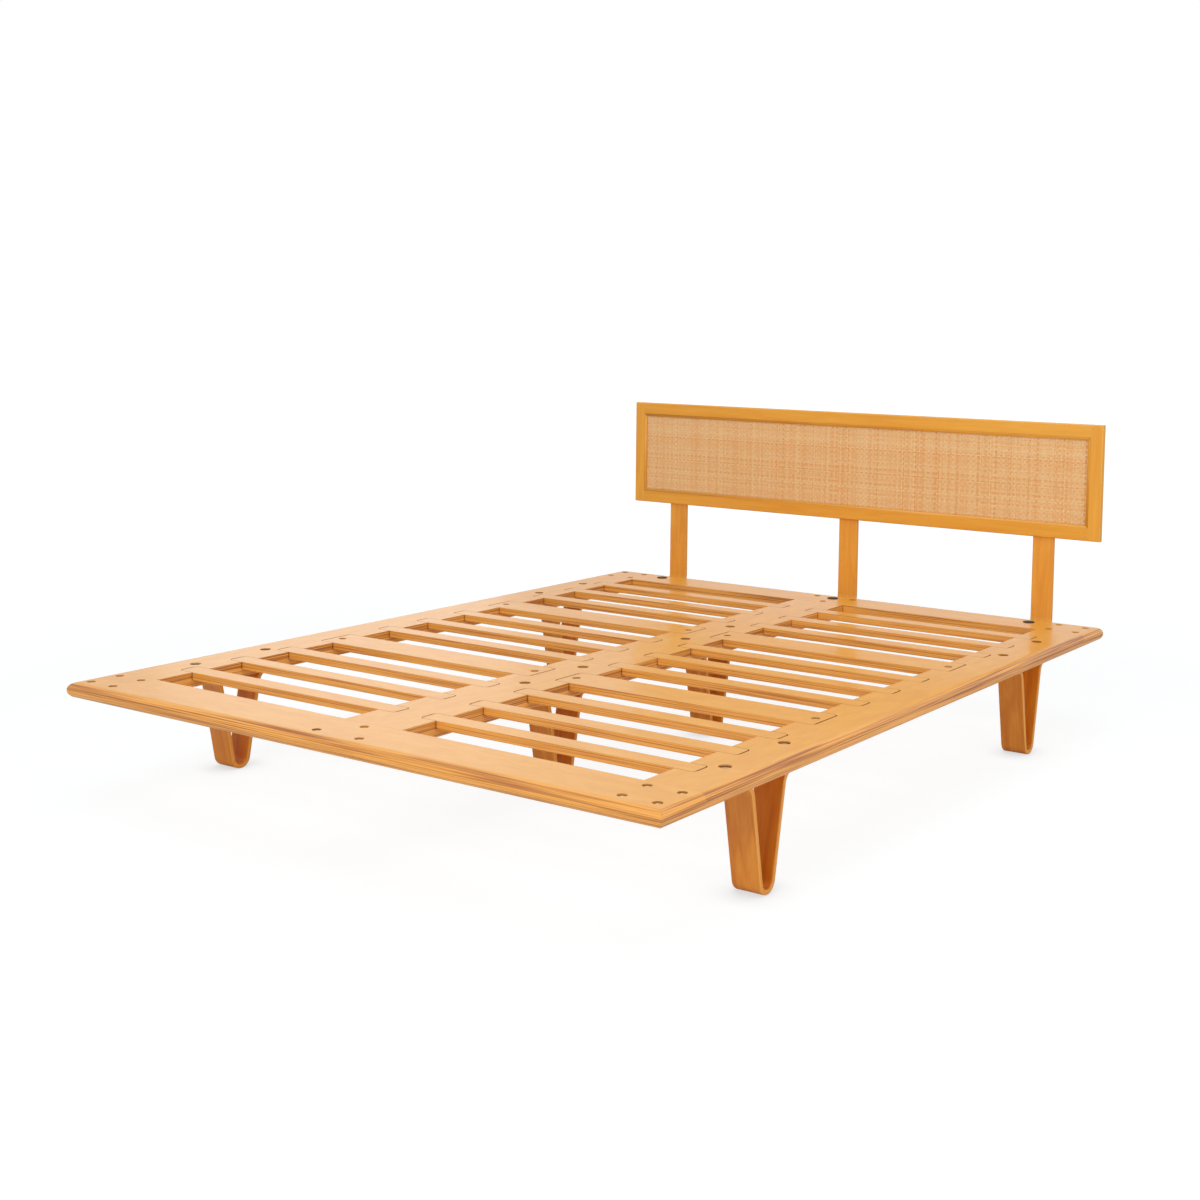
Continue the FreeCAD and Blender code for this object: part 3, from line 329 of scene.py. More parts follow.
def plies(tree, place, dark_ply, painted_upper_shade):
    """A sine of the height gives the plies and a noise flattened in height gives streaks of uneven tone.
    Their sum, raised above the glue line by a painted shade on the upper sheet, mixes the pale and the dark
    ply."""
    height = add(tree, "ShaderNodeSeparateXYZ", {"Vector": place}).outputs["Z"]
    wave = add(tree, "ShaderNodeMath", {0: height, 1: 1000 * np.pi / PLY_MM}, operation="MULTIPLY")
    wave = add(tree, "ShaderNodeMath", {0: wave.outputs[0]}, operation="SINE")
    streak = add(tree, "ShaderNodeMapping", {"Vector": place, "Scale": per_mm(*STREAK_MM)})
    streak = add(tree, "ShaderNodeTexNoise", {"Vector": streak.outputs[0], "Scale": 1.0, "Detail": 2.0})
    layer = add(tree, "ShaderNodeMath", {
        0: wave.outputs[0], 1: PLY_SHARE, 2: streak.outputs["Fac"]}, operation="MULTIPLY_ADD")
    # Painted shade: the plies of the upper sheet are darker than those of the lower sheet, which takes more
    # light from the floor.
    upper = add(tree, "ShaderNodeMapRange", {
        "Value": height, "To Max": painted_upper_shade,
        "From Min": GLUE_LINE - GLUE_BLUR, "From Max": GLUE_LINE + GLUE_BLUR})
    layer = add(tree, "ShaderNodeMath", {0: layer.outputs[0], 1: upper.outputs[0]}, operation="ADD")
    layer = add(tree, "ShaderNodeMapRange", {"Value": layer.outputs[0], "From Min": 0.46, "From Max": 0.74})
    edge = add(tree, "ShaderNodeMix", {
        0: layer.outputs[0], 6: linear("#F2AA4C"), 7: linear(dark_ply)}, data_type="RGBA")
    return edge.outputs[2]


def birch_plywood(name, fibre, figure, dark_ply, painted_upper_shade):
    """Veneer where the surface lies level, and plies where it is cut,
    told apart by how far the surface tilts."""
    finish, tree, shader = new_finish(name, roughness=0.38, coat_weight=0.2, coat_roughness=0.15)
    place = add(tree, "ShaderNodeTexCoord").outputs["Object"]
    face, fine = grain(tree, place, fibre, figure, "#F2AE42", "#EAA236", "#D08A30")
    edge = plies(tree, place, dark_ply, painted_upper_shade)
    facing = add(tree, "ShaderNodeNewGeometry").outputs["Normal"]
    tilt = add(tree, "ShaderNodeSeparateXYZ", {"Vector": facing}).outputs["Z"]
    tilt = add(tree, "ShaderNodeMath", {0: tilt}, operation="ABSOLUTE")
    flat = add(tree, "ShaderNodeMapRange", {
        "Value": tilt.outputs[0], "From Min": LEVEL_FROM, "From Max": LEVEL_TO,
    }, interpolation_type="SMOOTHSTEP")
    colour = add(tree, "ShaderNodeMix", {0: flat.outputs[0], 6: edge, 7: face}, data_type="RGBA")
    shown, soft = edged(tree, colour.outputs[2], SOFT_EDGE, share=0.6, tone="#8A5220")
    # Narrow gaps and bores are darkened by dust, and by painted shade on walls that light hardly reaches.
    shown = dust_and_painted_shade(tree, shown, NARROW, "#4A2610")
    bump = add(tree, "ShaderNodeBump", {"Height": fine, "Normal": soft, "Strength": 0.15, "Distance": RELIEF})
    gloss = add(tree, "ShaderNodeMapRange", {"Value": fine, "To Min": 0.3, "To Max": 0.46})
    cover(tree, shader, shown, bump.outputs[0], gloss.outputs[0])
    return finish


print("glue line at", round(GLUE_LINE, 4), "m")

# %% Plywood on the platform
ALONG, ALONG_FIGURE = (2.0, 60, 2.0), (45, 110, 45)
ACROSS, ACROSS_FIGURE = (60, 2.0, 2.0), (110, 45, 45)
# The last number is the painted shade on the upper sheet's edge.
ply_lengthwise = birch_plywood("birch plywood, grain along the bed", ALONG, ALONG_FIGURE, "#A86028", 0.13)
ply_crosswise = birch_plywood("birch plywood, grain across the bed", ACROSS, ACROSS_FIGURE, "#A86028", 0.05)
ply_slats = birch_plywood("birch plywood, slats with pale plies", ACROSS, ACROSS_FIGURE, "#C07430", 0.04)
slats = [name for name in nodes if "slat_left" in name or "slat_right" in name]
for name in ("side_rail_left", "side_rail_right", "centre_rail"):
    dress(name, ply_lengthwise)
for name in ("foot_rail", "head_rail"):
    dress(name, ply_crosswise)
for name in slats:
    dress(name, ply_slats)
print("plywood on five rails and", len(slats), "slats")

# %% [markdown]
# ## Headboard frame
# The stiles, the rails and the slim beads are solid beech, planed and lacquered to a golden tone.
# The grain runs along each piece, so the rails and the stiles get the same wood turned.
# The sharp edges are paler, partly rubbed and partly a painted highlight. The sheet behind the cane is thin
# birch plywood without much lacquer.

# %% Headboard frame
BEECH_EDGE = 0.001
BEECH_NARROW = 0.003


def golden_beech(name, fibre, figure):
    """Planed beech: close grain along the piece, with short darker flecks, under a satin lacquer."""
    finish, tree, shader = new_finish(name, roughness=0.34)
    place = add(tree, "ShaderNodeTexCoord").outputs["Object"]
    wood, fine = grain(tree, place, fibre, figure, "#F0AE3E", "#E69A2A", "#CC8424")
    # Paler edges: partly wear, partly a painted highlight.
    shown, soft = edged(tree, wood, BEECH_EDGE, share=0.35, tone="#F6C05A")
    # Painted shade, with dust, in the groove beside the bead.
    shown = dust_and_painted_shade(tree, shown, BEECH_NARROW, "#E2A23C")
    bump = add(tree, "ShaderNodeBump", {"Height": fine, "Normal": soft, "Strength": 0.15, "Distance": RELIEF})
    gloss = add(tree, "ShaderNodeMapRange", {"Value": fine, "To Min": 0.28, "To Max": 0.42})
    cover(tree, shader, shown, bump.outputs[0], gloss.outputs[0])
    return finish


beech_level = golden_beech("lacquered beech, grain level", (120, 1.8, 1.8), (420, 26, 26))
beech_upright = golden_beech("lacquered beech, grain upright", (1.8, 1.8, 120), (26, 26, 420))
for name in nodes:
    if name.startswith(("headboard_stile", "headboard_bead_left", "headboard_bead_right")):
        dress(name, beech_upright)
    elif name.startswith(("headboard_top", "headboard_bottom", "headboard_bead")):
        dress(name, beech_level)
print(beech_level.name, "and", beech_upright.name)

# %% Back sheet
back_finish, tree, shader = new_finish("birch plywood, thin back sheet", roughness=0.5)
place = add(tree, "ShaderNodeTexCoord").outputs["Object"]
wood, fine = grain(tree, place, (170, 2.4, 2.4), (520, 60, 60), "#E0AC62", "#D0944A", "#BE823C")
bump = add(tree, "ShaderNodeBump", {"Height": fine, "Strength": 0.2, "Distance": RELIEF})
gloss = add(tree, "ShaderNodeMapRange", {"Value": fine, "To Min": 0.42, "To Max": 0.6})
cover(tree, shader, wood, bump.outputs[0], gloss.outputs[0])
dress("headboard_back_board", back_finish)
print(back_finish.name)

# %% [markdown]
# ## Meshes from arrays
# Every new piece below is a grid of points: rows along a path, and columns round a closed profile.
# One function turns such a grid into a closed mesh.
# It checks the enclosed volume, so that the faces point outwards.

# %% Meshes from arrays
def piece_from_rings(name, rings, finish, slot, stands_for, **attributes):
    """Rings of points, as tubes x rows x columns x 3, joined to closed tubes with flat ends.
    Face (t, r, c) joins columns c and c+1 of rows r and r+1, and the last column joins the first."""
    tubes, rows, columns = rings.shape[:3]
    index = np.arange(tubes * rows * columns).reshape(tubes, rows, columns)
    after = np.roll(index, -1, axis=2)
    sides = np.stack([index[:, :-1], after[:, :-1], after[:, 1:], index[:, 1:]], axis=-1).reshape(-1, 4)
    ends = np.concatenate([index[:, 0, ::-1], index[:, -1]])
    points = rings.reshape(-1, 3)
    a, b, c, d = (points[sides[:, i]] for i in range(4))
    volume = (np.einsum("ij,ij->", a, np.cross(b, c)) + np.einsum("ij,ij->", a, np.cross(c, d))) / 6
    if volume < 0:
        sides, ends = sides[:, ::-1], ends[:, ::-1]
    mesh = bpy.data.meshes.new(name)
    mesh.from_pydata(points, [], sides.tolist() + ends.tolist())
    smooth = np.arange(len(sides) + len(ends)) < len(sides)
    mesh.polygons.foreach_set("use_smooth", smooth)
    for label, values in attributes.items():
        layer = mesh.attributes.new(label, "FLOAT_VECTOR", "POINT")
        layer.data.foreach_set("vector", np.broadcast_to(values, rings.shape).astype(np.float32).ravel())
    mesh.update()
    mesh.materials.append(finish)
    piece = bpy.data.objects.new(name, mesh)
    bpy.context.collection.objects.link(piece)
    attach(piece, "root")
    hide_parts(*stands_for)
    return piece


print("piece_from_rings ready")

# %% [markdown]
# ## Bent strips
# Each leg and post is one strip of veneers, glued in a mould. Its wide faces show veneer with the grain along
# the bend, and its edges show the glued layers. The legs' deeper amber than the posts, and the tint inside
# each leg's bend, are painted shade under the platform.
# The pattern has to follow the bend, so every point carries three lengths:
# across the strip, along it, and through its thickness.

# %% Bent strip finish
THICK = 0.011
HALF_THICK = THICK / 2
VENEER = 0.0008
LAYER_MM = 1.6


def bent_birch(name, pale, deep, line, inner_painted_shade):
    """Veneer on the wide faces, with a painted shade on the face inside the bend, and glued layers on the
    edges.
    """
    finish, tree, shader = new_finish(name, roughness=0.33)
    strip = add(tree, "ShaderNodeAttribute", attribute_name="strip").outputs["Vector"]
    face, fine = grain(tree, strip, (2.0, 130, 30), (26, 200, 30), pale, deep, line)
    depth = add(tree, "ShaderNodeSeparateXYZ", {"Vector": strip}).outputs["Z"]
    within = add(tree, "ShaderNodeMapRange", {
        "Value": depth, "From Min": HALF_THICK - VENEER, "From Max": HALF_THICK - VENEER / 4})
    face = add(tree, "ShaderNodeMix", {
        0: within.outputs[0], 6: face, 7: linear(inner_painted_shade)}, data_type="RGBA", blend_type="MULTIPLY")
    wave = add(tree, "ShaderNodeMath", {0: depth, 1: 1000 * np.pi / LAYER_MM}, operation="MULTIPLY")
    wave = add(tree, "ShaderNodeMath", {0: wave.outputs[0]}, operation="SINE")
    layer = add(tree, "ShaderNodeMapRange", {"Value": wave.outputs[0], "From Min": -0.6, "From Max": 0.6})
    edge = add(tree, "ShaderNodeMix", {
        0: layer.outputs[0], 6: linear("#F4AE46"), 7: linear("#D08630")}, data_type="RGBA")
    inside = add(tree, "ShaderNodeMath", {0: depth}, operation="ABSOLUTE")
    inside = add(tree, "ShaderNodeMapRange", {
        "Value": inside.outputs[0], "From Min": HALF_THICK - VENEER / 2, "From Max": HALF_THICK - VENEER})
    colour = add(tree, "ShaderNodeMix", {
        0: inside.outputs[0], 6: face.outputs[2], 7: edge.outputs[2]}, data_type="RGBA")
    bump = add(tree, "ShaderNodeBump", {"Height": fine, "Strength": 0.15, "Distance": RELIEF})
    gloss = add(tree, "ShaderNodeMapRange", {"Value": fine, "To Min": 0.26, "To Max": 0.4})
    gloss = add(tree, "ShaderNodeMath", {
        0: within.outputs[0], 1: 0.2, 2: gloss.outputs[0]}, operation="MULTIPLY_ADD")
    cover(tree, shader, colour.outputs[2], bump.outputs[0], gloss.outputs[0])
    return finish


# The legs' deeper tones and inner tint are painted shade under the platform; the posts' white tint leaves
# them unchanged.
leg_finish = bent_birch("bent birch, amber lacquer, painted shade", "#F2A23C", "#DC8228", "#9C5416", "#F5E059")
post_finish = bent_birch("bent birch, golden lacquer", "#F0A83A", "#E4962C", "#B87024", "#FFFFFF")
print(leg_finish.name, "and", post_finish.name)

# %% [markdown]
# ## Bars along a line
# A strip is a bar's section carried along a bent line. The section is a rectangle with its corners
# rounded, and the line is made of straight lengths and arcs.

# %% Bars along a line
EDGE_ROUND = 0.003
FLAT_STEP = 0.0004
EDGE_POINTS = 6


def bar_profile(width):
    """A rectangle with round corners: four quarter circles,
    each with a point just before and just after it on the flats."""
    turn = np.linspace(0, np.pi / 2, EDGE_POINTS)
    arc = np.stack([EDGE_ROUND * np.cos(turn), EDGE_ROUND * np.sin(turn)], axis=-1)
    arc = np.vstack([[EDGE_ROUND, -FLAT_STEP], arc, [-FLAT_STEP, EDGE_ROUND]])
    corner = arc + [width / 2 - EDGE_ROUND, HALF_THICK - EDGE_ROUND]
    mirrored = corner[::-1] * [-1, 1]
    return np.vstack([corner, mirrored, -corner, -mirrored])


def straight(start, end, steps):
    """Points from start to end, without the first."""
    return np.linspace(start, end, steps + 1)[1:]


def arc_points(centre, radius, begin, finish, steps):
    """Points on a circle from one angle to another, in degrees, without the first."""
    turn = np.radians(np.linspace(begin, finish, steps + 1)[1:])
    return np.asarray(centre) + radius * np.stack([np.cos(turn), np.sin(turn)], axis=-1)


def bent_bar(line, width):
    """A bar's profile carried along a flat line: at each point the profile's width lies across the bed,
    and its thickness lies at right angles to the line.
    Returns the rings and the three lengths of the pattern."""
    heading = np.gradient(line, axis=0)
    heading /= np.linalg.norm(heading, axis=1, keepdims=True)
    inward = np.stack([-heading[:, 1], heading[:, 0]], axis=-1)
    gone = np.concatenate([[0], np.cumsum(np.linalg.norm(np.diff(line, axis=0), axis=1))])
    profile = bar_profile(width)
    side = line[:, None] + inward[:, None] * profile[None, :, 1:]
    across = np.broadcast_to(profile[:, 0], side.shape[:2])
    through = np.broadcast_to(profile[:, 1], side.shape[:2])
    along = np.broadcast_to(gone[:, None], side.shape[:2])
    return np.dstack([across, side]), np.stack([across, along, through], axis=-1)


leg_low, leg_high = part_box("leg_foot_right")
leg_width = leg_high.x - leg_low.x
print("a leg", round(leg_width, 3), "m wide has", len(bar_profile(leg_width)), "points round it")

# %% [markdown]
# ## Legs
# A leg is a narrow V. The strip goes down one arm, round a tight toe on the floor and up the other arm,
# and its ends turn out level under the rail. Half of the line is worked out and mirrored.
# The toe is set a little low and cut level with the floor, so that it stands on a flat.
# Each leg takes its pattern from another place, so that no two look alike.

# %% Legs
SPLAY = 10.7
TOE_ROUND = 0.0295
TOE_FLAT = 0.0006
TOE_HEIGHT = TOE_ROUND - TOE_FLAT
BEND_ROUND = 0.025
ARC_STEPS, ARM_STEPS, END_STEPS = 14, 8, 4
LEG_SHIFT = np.array([0.31, 0.77, 0])


def middle_of(name):
    """The middle of a CAD node's box, across the bed and along it."""
    low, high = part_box(name)
    return (low.x + high.x) / 2, (low.y + high.y) / 2


leg_reach = (leg_high.y - leg_low.y) / 2
lean = np.radians(SPLAY)
bend_height = leg_high.z - THICK - BEND_ROUND
bend_out = (TOE_ROUND + BEND_ROUND + (bend_height - TOE_HEIGHT) * np.sin(lean)) / np.cos(lean)
toe_line = TOE_ROUND - HALF_THICK
bend_line = BEND_ROUND + HALF_THICK
toe = arc_points((0, TOE_HEIGHT), toe_line, -90, -SPLAY, ARC_STEPS)
bend = arc_points((bend_out, bend_height), bend_line, 180 - SPLAY, 90, ARC_STEPS)
arm_top = np.array([bend_out, bend_height]) + bend_line * np.array([-np.cos(lean), np.sin(lean)])
half = np.vstack([
    [[0, TOE_HEIGHT - toe_line]], toe, straight(toe[-1], arm_top, ARM_STEPS), bend,
    straight(bend[-1], (leg_reach, leg_high.z - HALF_THICK), END_STEPS),
])
leg_line = np.vstack([half[:0:-1] * [-1, 1], half])
leg_rings, leg_lengths = bent_bar(leg_line, leg_width)
leg_rings[..., 2] = np.maximum(leg_rings[..., 2], 0)

legs = sorted(name for name in nodes if name.startswith("leg_") and not name.endswith(("bolts", "nuts")))
for number, name in enumerate(legs):
    middle = np.array([*middle_of(name), 0])
    piece_from_rings("bent_" + name, leg_rings[None] + middle, leg_finish, "bent_strip", [name],
                     strip=leg_lengths[None] + number * LEG_SHIFT)
    print(name, "stands at", np.round(middle[:2], 3))

# %% [markdown]
# ## Posts
# A post is the same kind of strip, bent once. Its foot lies under the head rail,
# it turns up behind the platform, and its upper end carries the headboard.

# %% Posts
POST_BEND = 0.040
FOOT_STEPS, BEND_STEPS, RISE_STEPS = 4, 18, 12
POST_START, POST_SHIFT = np.array([0, 2, 0]), np.array([0.23, 0.61, 0])
turn_line = POST_BEND + HALF_THICK
for number, name in enumerate(("headboard_post_left", "headboard_post_centre", "headboard_post_right")):
    low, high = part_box(name)
    back, under = high.y - HALF_THICK, low.z + HALF_THICK
    pivot = (back - turn_line, under + turn_line)
    foot_end = (low.y, under)
    post_line = np.vstack([
        [foot_end], straight(foot_end, (pivot[0], under), FOOT_STEPS),
        arc_points(pivot, turn_line, -90, 0, BEND_STEPS),
        straight((back, pivot[1]), (back, high.z), RISE_STEPS),
    ])
    rings, lengths = bent_bar(post_line, high.x - low.x)
    middle = np.array([middle_of(name)[0], 0, 0])
    piece_from_rings("bent_" + name, rings[None] + middle, post_finish, "bent_strip", [name],
                     strip=lengths[None] + POST_START + number * POST_SHIFT)
    print(name, "is", round(high.z - low.z, 3), "m tall")

# %% [markdown]
# ## Beads round the cane
# A slim bead with a gently rounded front holds the cane in. A narrow, shallow groove parts it from the frame,
# and its four lengths meet in mitres.

# %% Beads
GROOVE, GROOVE_DEPTH = 0.0017, 0.0014
BEAD, BEAD_DEPTH = 0.0062, 0.0040
BEAD_RISE = 0.0013
CORNER = 0.0001
CROWN_POINTS = 13
crown = np.linspace(np.pi, 0, CROWN_POINTS)
bead_profile = np.vstack([
    [[0, BEAD_DEPTH], [0, GROOVE_DEPTH + CORNER], [CORNER, GROOVE_DEPTH], [GROOVE - CORNER, GROOVE_DEPTH]],
    np.stack([GROOVE + BEAD / 2 * (1 + np.cos(crown)), GROOVE_DEPTH - BEAD_RISE * np.sin(crown)], axis=-1),
    [[GROOVE + BEAD, BEAD_DEPTH]],
])
face_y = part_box("headboard_top_rail")[0].y
left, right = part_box("headboard_bead_left")[0].x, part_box("headboard_bead_right")[1].x
bottom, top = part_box("headboard_bead_bottom")[0].z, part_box("headboard_bead_top")[1].z
middle_z = (bottom + top) / 2


def mitred_bead(name, ends, finish):
    """The bead's profile carried from one corner of the opening to the next. At a corner each point
    lies as far in along both edges as it lies in from the frame, which cuts the end at 45 degrees."""
    into, deep = bead_profile.T
    rows = [np.stack([x - np.sign(x) * into, face_y + deep, z + np.sign(middle_z - z) * into], axis=-1)
            for x, z in ends]
    piece_from_rings("mitred_" + name, np.array(rows)[None], finish, "headboard_wood", [name])


mitred_bead("headboard_bead_bottom", [(left, bottom), (right, bottom)], beech_level)
mitred_bead("headboard_bead_top", [(left, top), (right, top)], beech_level)
mitred_bead("headboard_bead_left", [(left, bottom), (left, top)], beech_upright)
mitred_bead("headboard_bead_right", [(right, bottom), (right, top)], beech_upright)
print("beads round an opening of", round(right - left, 3), "by", round(top - bottom, 3), "m")

# %% [markdown]
# ## Cane
# The panel is woven from flat strips of cane, in pairs: two over two, under two.
# A picture of a weave would look flat at a glancing angle, so the strips are real:
# upright ones in one piece and level ones in another.
# Each strip is a thin ribbon with a crowned front and a flat back.
# It rises and dips by a quarter of a millimetre.
# Cane is a natural skin, so each strip has its own tone and a slightly uneven run.

# %% Cane finish
FIBRE_MM = (2.4, 6, 1000)

cane_finish, tree, shader = new_finish("woven cane strips, clear lacquer", roughness=0.4)
strand = add(tree, "ShaderNodeAttribute", attribute_name="strand").outputs["Vector"]
tone = add(tree, "ShaderNodeSeparateXYZ", {"Vector": strand}).outputs["Z"]
fibre = add(tree, "ShaderNodeMapping", {"Vector": strand, "Scale": per_mm(*FIBRE_MM)})
fibre = add(tree, "ShaderNodeTexNoise", {"Vector": fibre.outputs[0], "Scale": 1.0, "Detail": 3.0})
fibre = fibre.outputs["Fac"]
mixed = add(tree, "ShaderNodeMath", {0: fibre, 1: 0.9, 2: tone}, operation="MULTIPLY_ADD")
share = add(tree, "ShaderNodeMapRange", {"Value": mixed.outputs[0], "From Min": 0.56, "From Max": 1.26})
skin = add(tree, "ShaderNodeMix", {
    0: share.outputs[0], 6: linear("#FFDCA4"), 7: linear("#F2A458")}, data_type="RGBA")
bump = add(tree, "ShaderNodeBump", {"Height": fibre, "Strength": 0.2, "Distance": RELIEF})
gloss = add(tree, "ShaderNodeMapRange", {"Value": fibre, "To Min": 0.32, "To Max": 0.5})
cover(tree, shader, skin.outputs[2], bump.outputs[0], gloss.outputs[0])
print(cane_finish.name)

# %% Cane strips
PAIR_WIDE, PAIR_TALL = 0.0080, 0.0075
STRIP_SHARE = 0.98
RISE = 0.00026
SKIN = 0.0004
CROWN = 0.00014
WANDER, WANDER_LENGTH = 0.06, 0.03
PLACE_SPREAD, WIDTH_SPREAD = 0.02, 0.04
TONE, TONE_SPREAD = 0.36, 0.13
DARK_STRIP, DARK_FROM = 0.2, 0.93
STRAND_SHIFT = 0.05
TURN = 6.28
chance = np.random.default_rng(7)


def woven(length, breadth, pair_along, pair_across, sign):
    """Ribbons side by side. Ribbon i lies at (i + half) pitches, its depth is a cosine along it
    with one wave for every two pairs that it crosses, and the wave turns over with each next pair.
    Its profile is three points: two edges, with a raised middle between them."""
    count, pairs = 2 * int(round(breadth / pair_across)), int(round(length / pair_along))
    pitch = breadth / count
    along = np.linspace(0, length, 2 * pairs + 1)
    strip = np.arange(count)
    wave = sign * np.cos(np.pi * (along[None] / (length / pairs) - 0.5) + np.pi * (strip[:, None] // 2))
    place = (strip + 0.5) * pitch + chance.normal(0, PLACE_SPREAD, count) * pitch
    drift = WANDER * pitch * np.sin(along[None] / WANDER_LENGTH + chance.uniform(0, TURN, (count, 1)))
    half_width = STRIP_SHARE * pitch / 2 * (1 + chance.normal(0, WIDTH_SPREAD, (count, 1)))
    across = np.tile([-1.0, 0.0, 1.0], (count, 1))[:, None]
    lift = np.array([-0.5, 1, -0.5]) * SKIN / 2 + np.array([0, CROWN, 0])
    side = place[:, None, None] + drift[..., None] + across * half_width[..., None]
    depth = RISE * wave[..., None] + lift
    run = np.broadcast_to(along[None, :, None], side.shape)
    tone = TONE + TONE_SPREAD * chance.normal(0, 1, count)
    tone += DARK_STRIP * (chance.uniform(0, 1, count) > DARK_FROM)
    apart = np.broadcast_to(across * pitch / 2 + STRAND_SHIFT * strip[:, None, None], side.shape)
    lengths = np.stack([apart, run, np.broadcast_to(tone[:, None, None], side.shape)], axis=-1)
    return run, side, depth, lengths


cane_low, cane_high = (np.array(corner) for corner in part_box("cane_panel"))
wide, _, tall = cane_high - cane_low
middle_depth = (cane_low[1] + cane_high[1]) / 2
run, side, depth, lengths = woven(tall, wide, PAIR_TALL, PAIR_WIDE, 1)
upright = np.stack([cane_low[0] + side, middle_depth - depth, cane_low[2] + run], axis=-1)
piece_from_rings("cane_upright_strips", upright, cane_finish, "cane", ["cane_panel"], strand=lengths)

run, side, depth, lengths = woven(wide, tall, PAIR_WIDE, PAIR_TALL, -1)
level_strips = np.stack([cane_low[0] + run, middle_depth - depth, cane_low[2] + side], axis=-1)
piece_from_rings("cane_level_strips", level_strips, cane_finish, "cane", ["cane_panel"], strand=lengths)
print(len(upright), "upright strips and", len(level_strips), "level strips")

# %% [markdown]
# ## Steel
# The screws are yellow zinc-plated steel and the leg bolts are plain zinc,
# both with a faint cloudy bloom about 3 mm wide.
# The bolts in front of the posts are painted a flat black with a fine grit.
# All three are one noise that mixes two tones and varies the gloss, so one function makes them.

# %% Steel
def coated_steel(name, cell, detail, tones, matt, relief, **sockets):
    """A noise with cells of the given millimetres mixes the two tones,
    varies the gloss and raises the surface."""
    finish, tree, shader = new_finish(name, **sockets)
    place = add(tree, "ShaderNodeTexCoord").outputs["Object"]
    cloud = add(tree, "ShaderNodeMapping", {"Vector": place, "Scale": per_mm(cell, cell, cell)})
    cloud = add(tree, "ShaderNodeTexNoise", {
        "Vector": cloud.outputs[0], "Scale": 1.0, "Detail": detail}).outputs["Fac"]
    tone = add(tree, "ShaderNodeMix", {0: cloud, 6: linear(tones[0]), 7: linear(tones[1])}, data_type="RGBA")
    gloss = add(tree, "ShaderNodeMapRange", {"Value": cloud, "To Min": matt[0], "To Max": matt[1]})
    bump = add(tree, "ShaderNodeBump", {"Height": cloud, "Strength": relief, "Distance": RELIEF / 2})
    cover(tree, shader, tone.outputs[2], bump.outputs[0], gloss.outputs[0])
    return finish


PLATED = dict(cell=3, detail=3.0, matt=(0.24, 0.42), relief=0.1, metallic=1.0, roughness=0.32)
zinc = coated_steel("zinc-plated steel", tones=("#B4AC9E", "#807868"), **PLATED)
yellow_zinc = coated_steel("yellow zinc-plated steel", tones=("#E4CFA8", "#BCA47C"), **PLATED)
black = coated_steel("black painted steel", cell=0.8, detail=2.0, tones=("#060607", "#101011"),
                     matt=(0.58, 0.74), relief=0.15, roughness=0.65)
dress("leg_nuts", zinc)
dress("post_nuts", zinc)
dress("headboard_screws", yellow_zinc)
dress("post_bolts", black)
print("zinc, yellow zinc and black paint")

# %% [markdown]
# ## Screws and bolts
# Flat heads with a six-sided socket sit a little below the wood. A head is a profile turned round its axis,
# and the socket's part of the profile has a radius that changes with the angle, which makes it six-sided.

# %% Socket heads
BEVEL = 0.0006
TIP = 0.0004
MOUTH_WIDE, MOUTH_DEEP = 0.0005, 0.0008
TIP_SHARE, RIM_SHARE, SOCKET_SHARE = 0.9, 0.3, 0.6
HEAD_POINTS = 30


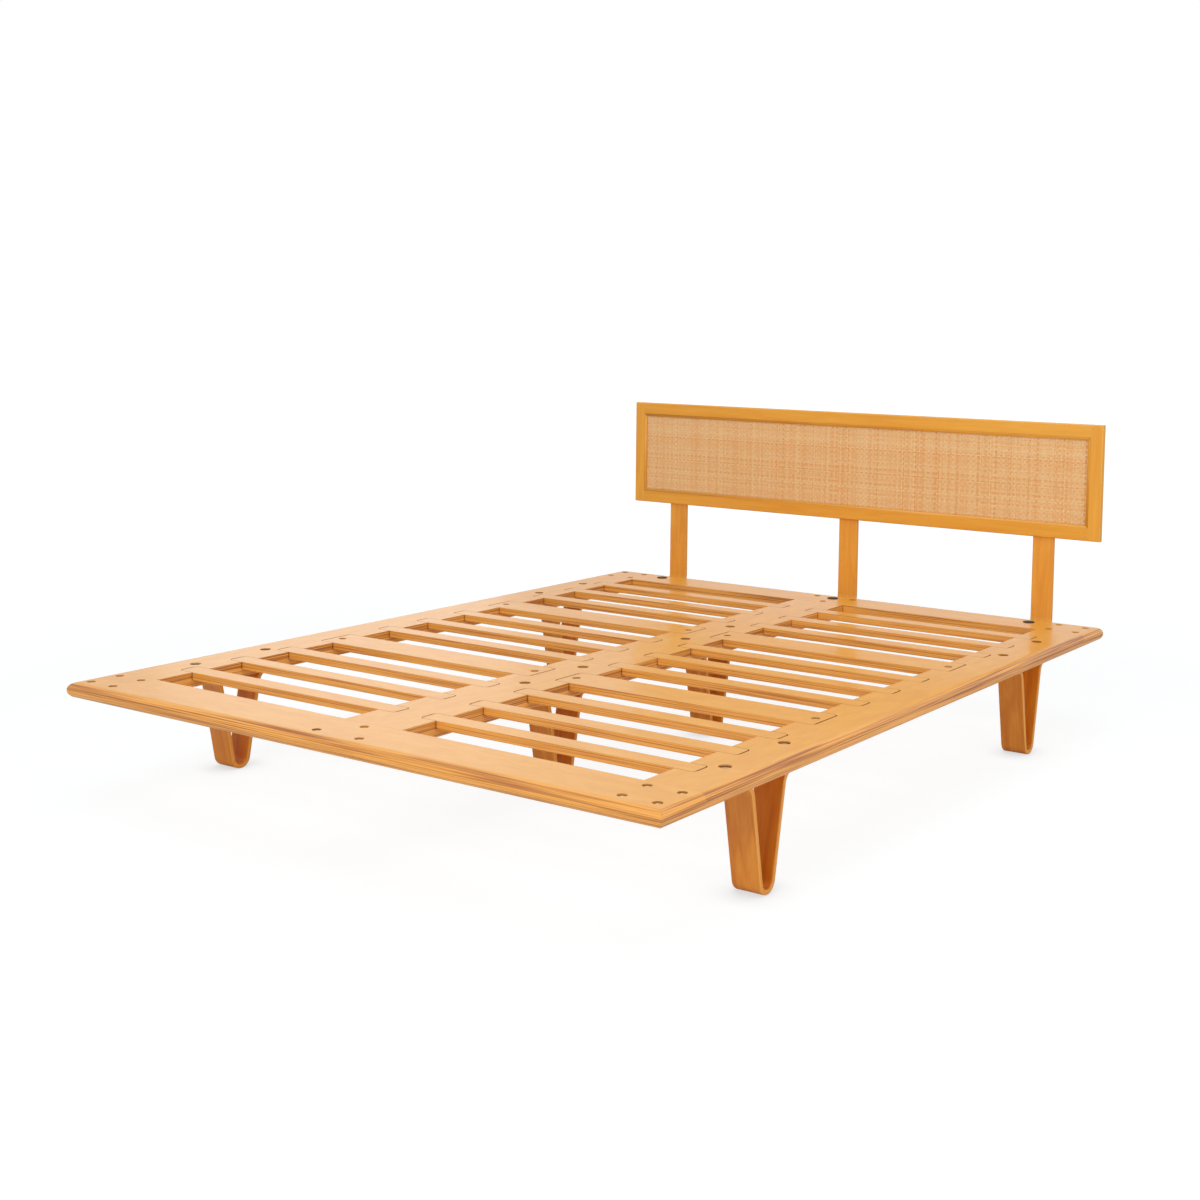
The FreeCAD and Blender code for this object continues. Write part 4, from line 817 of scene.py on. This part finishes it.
def socket_screws(name, finish, centres, head, shank, head_thick, socket):
    """A turned profile from the tip up the shank, out under the head, over its rim and down into the socket.
    At angle t the socket's radius is its flat radius over the cosine
    of t's distance from the middle of the nearest flat."""
    turn = np.linspace(0, 2 * np.pi, HEAD_POINTS, endpoint=False)
    flat = socket / np.cos((turn % (np.pi / 3)) - np.pi / 6)
    ring = np.ones_like(turn)
    bottom, top = (corner.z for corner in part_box(name))
    under, rim = top - head_thick, RIM_SHARE * BEVEL
    profile = [
        (TIP_SHARE * shank * ring, bottom), (shank * ring, bottom + TIP), (shank * ring, under),
        (head * ring, under), (head * ring, top - BEVEL), ((head - rim) * ring, top - rim),
        ((head - BEVEL) * ring, top), (flat + MOUTH_WIDE, top), (flat + MOUTH_WIDE / 5, top - MOUTH_DEEP / 2),
        (flat, top - MOUTH_DEEP), (flat, top - SOCKET_SHARE * head_thick),
    ]
    shape = np.stack([
        np.stack([radius * np.cos(turn), radius * np.sin(turn), height * ring], axis=-1)
        for radius, height in profile])
    rings = shape[None] + np.pad(np.asarray(centres), ((0, 0), (0, 1)))[:, None, None]
    piece_from_rings(name + "_socket_heads", rings, finish, "steel", [name])
    print(len(centres), "in", name)


print("a socket", SOCKET_SHARE, "of a head deep")

# %% [markdown]
# ## Places of the screws
# The screws stand at set distances from the edges of the rails: a square of four at each corner,
# three at each end of the centre rail, and one at each end of a wide slat.
# A leg has a bolt in each of its ends.

# %% Places of the screws
CORNER_INSET, CORNER_SPACING = 0.025, 0.078
LAP_INSET, LAP_REACH, LAP_SPREAD = 0.026, 0.102, 0.122
SLAT_INSET = 0.019
BOLT_SPACING = 0.222
SCREW = dict(head=0.009, shank=0.003, head_thick=0.003, socket=0.0025)
BOLT = dict(head=0.011, shank=0.004, head_thick=0.004, socket=0.004)

bay_outer, bay_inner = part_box("side_rail_right")[0].x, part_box("centre_rail")[1].x
end_rails = ((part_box("foot_rail")[1].y, -1), (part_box("head_rail")[0].y, 1))
steps = (CORNER_INSET, CORNER_INSET + CORNER_SPACING)
lap_places = [(side * (bay_outer + x), edge + way * y)
              for side in (-1, 1) for edge, way in end_rails for x in steps for y in steps]
for edge, way in end_rails:
    lap_places += [(side * LAP_SPREAD / 2, edge + way * LAP_REACH) for side in (-1, 1)]
    lap_places += [(0, edge + way * LAP_INSET)]
slat_places = [(side * x, middle_of(name)[1])
               for name in ("wide_slat_right_4", "wide_slat_right_8")
               for x in (bay_outer + SLAT_INSET, bay_inner - SLAT_INSET) for side in (-1, 1)]
leg_places = [(x, y + side * BOLT_SPACING / 2) for x, y in map(middle_of, legs) for side in (-1, 1)]
socket_screws("lap_screws", yellow_zinc, lap_places, **SCREW)
socket_screws("slat_screws", yellow_zinc, slat_places, **SCREW)
socket_screws("leg_bolts", zinc, leg_places, **BOLT)
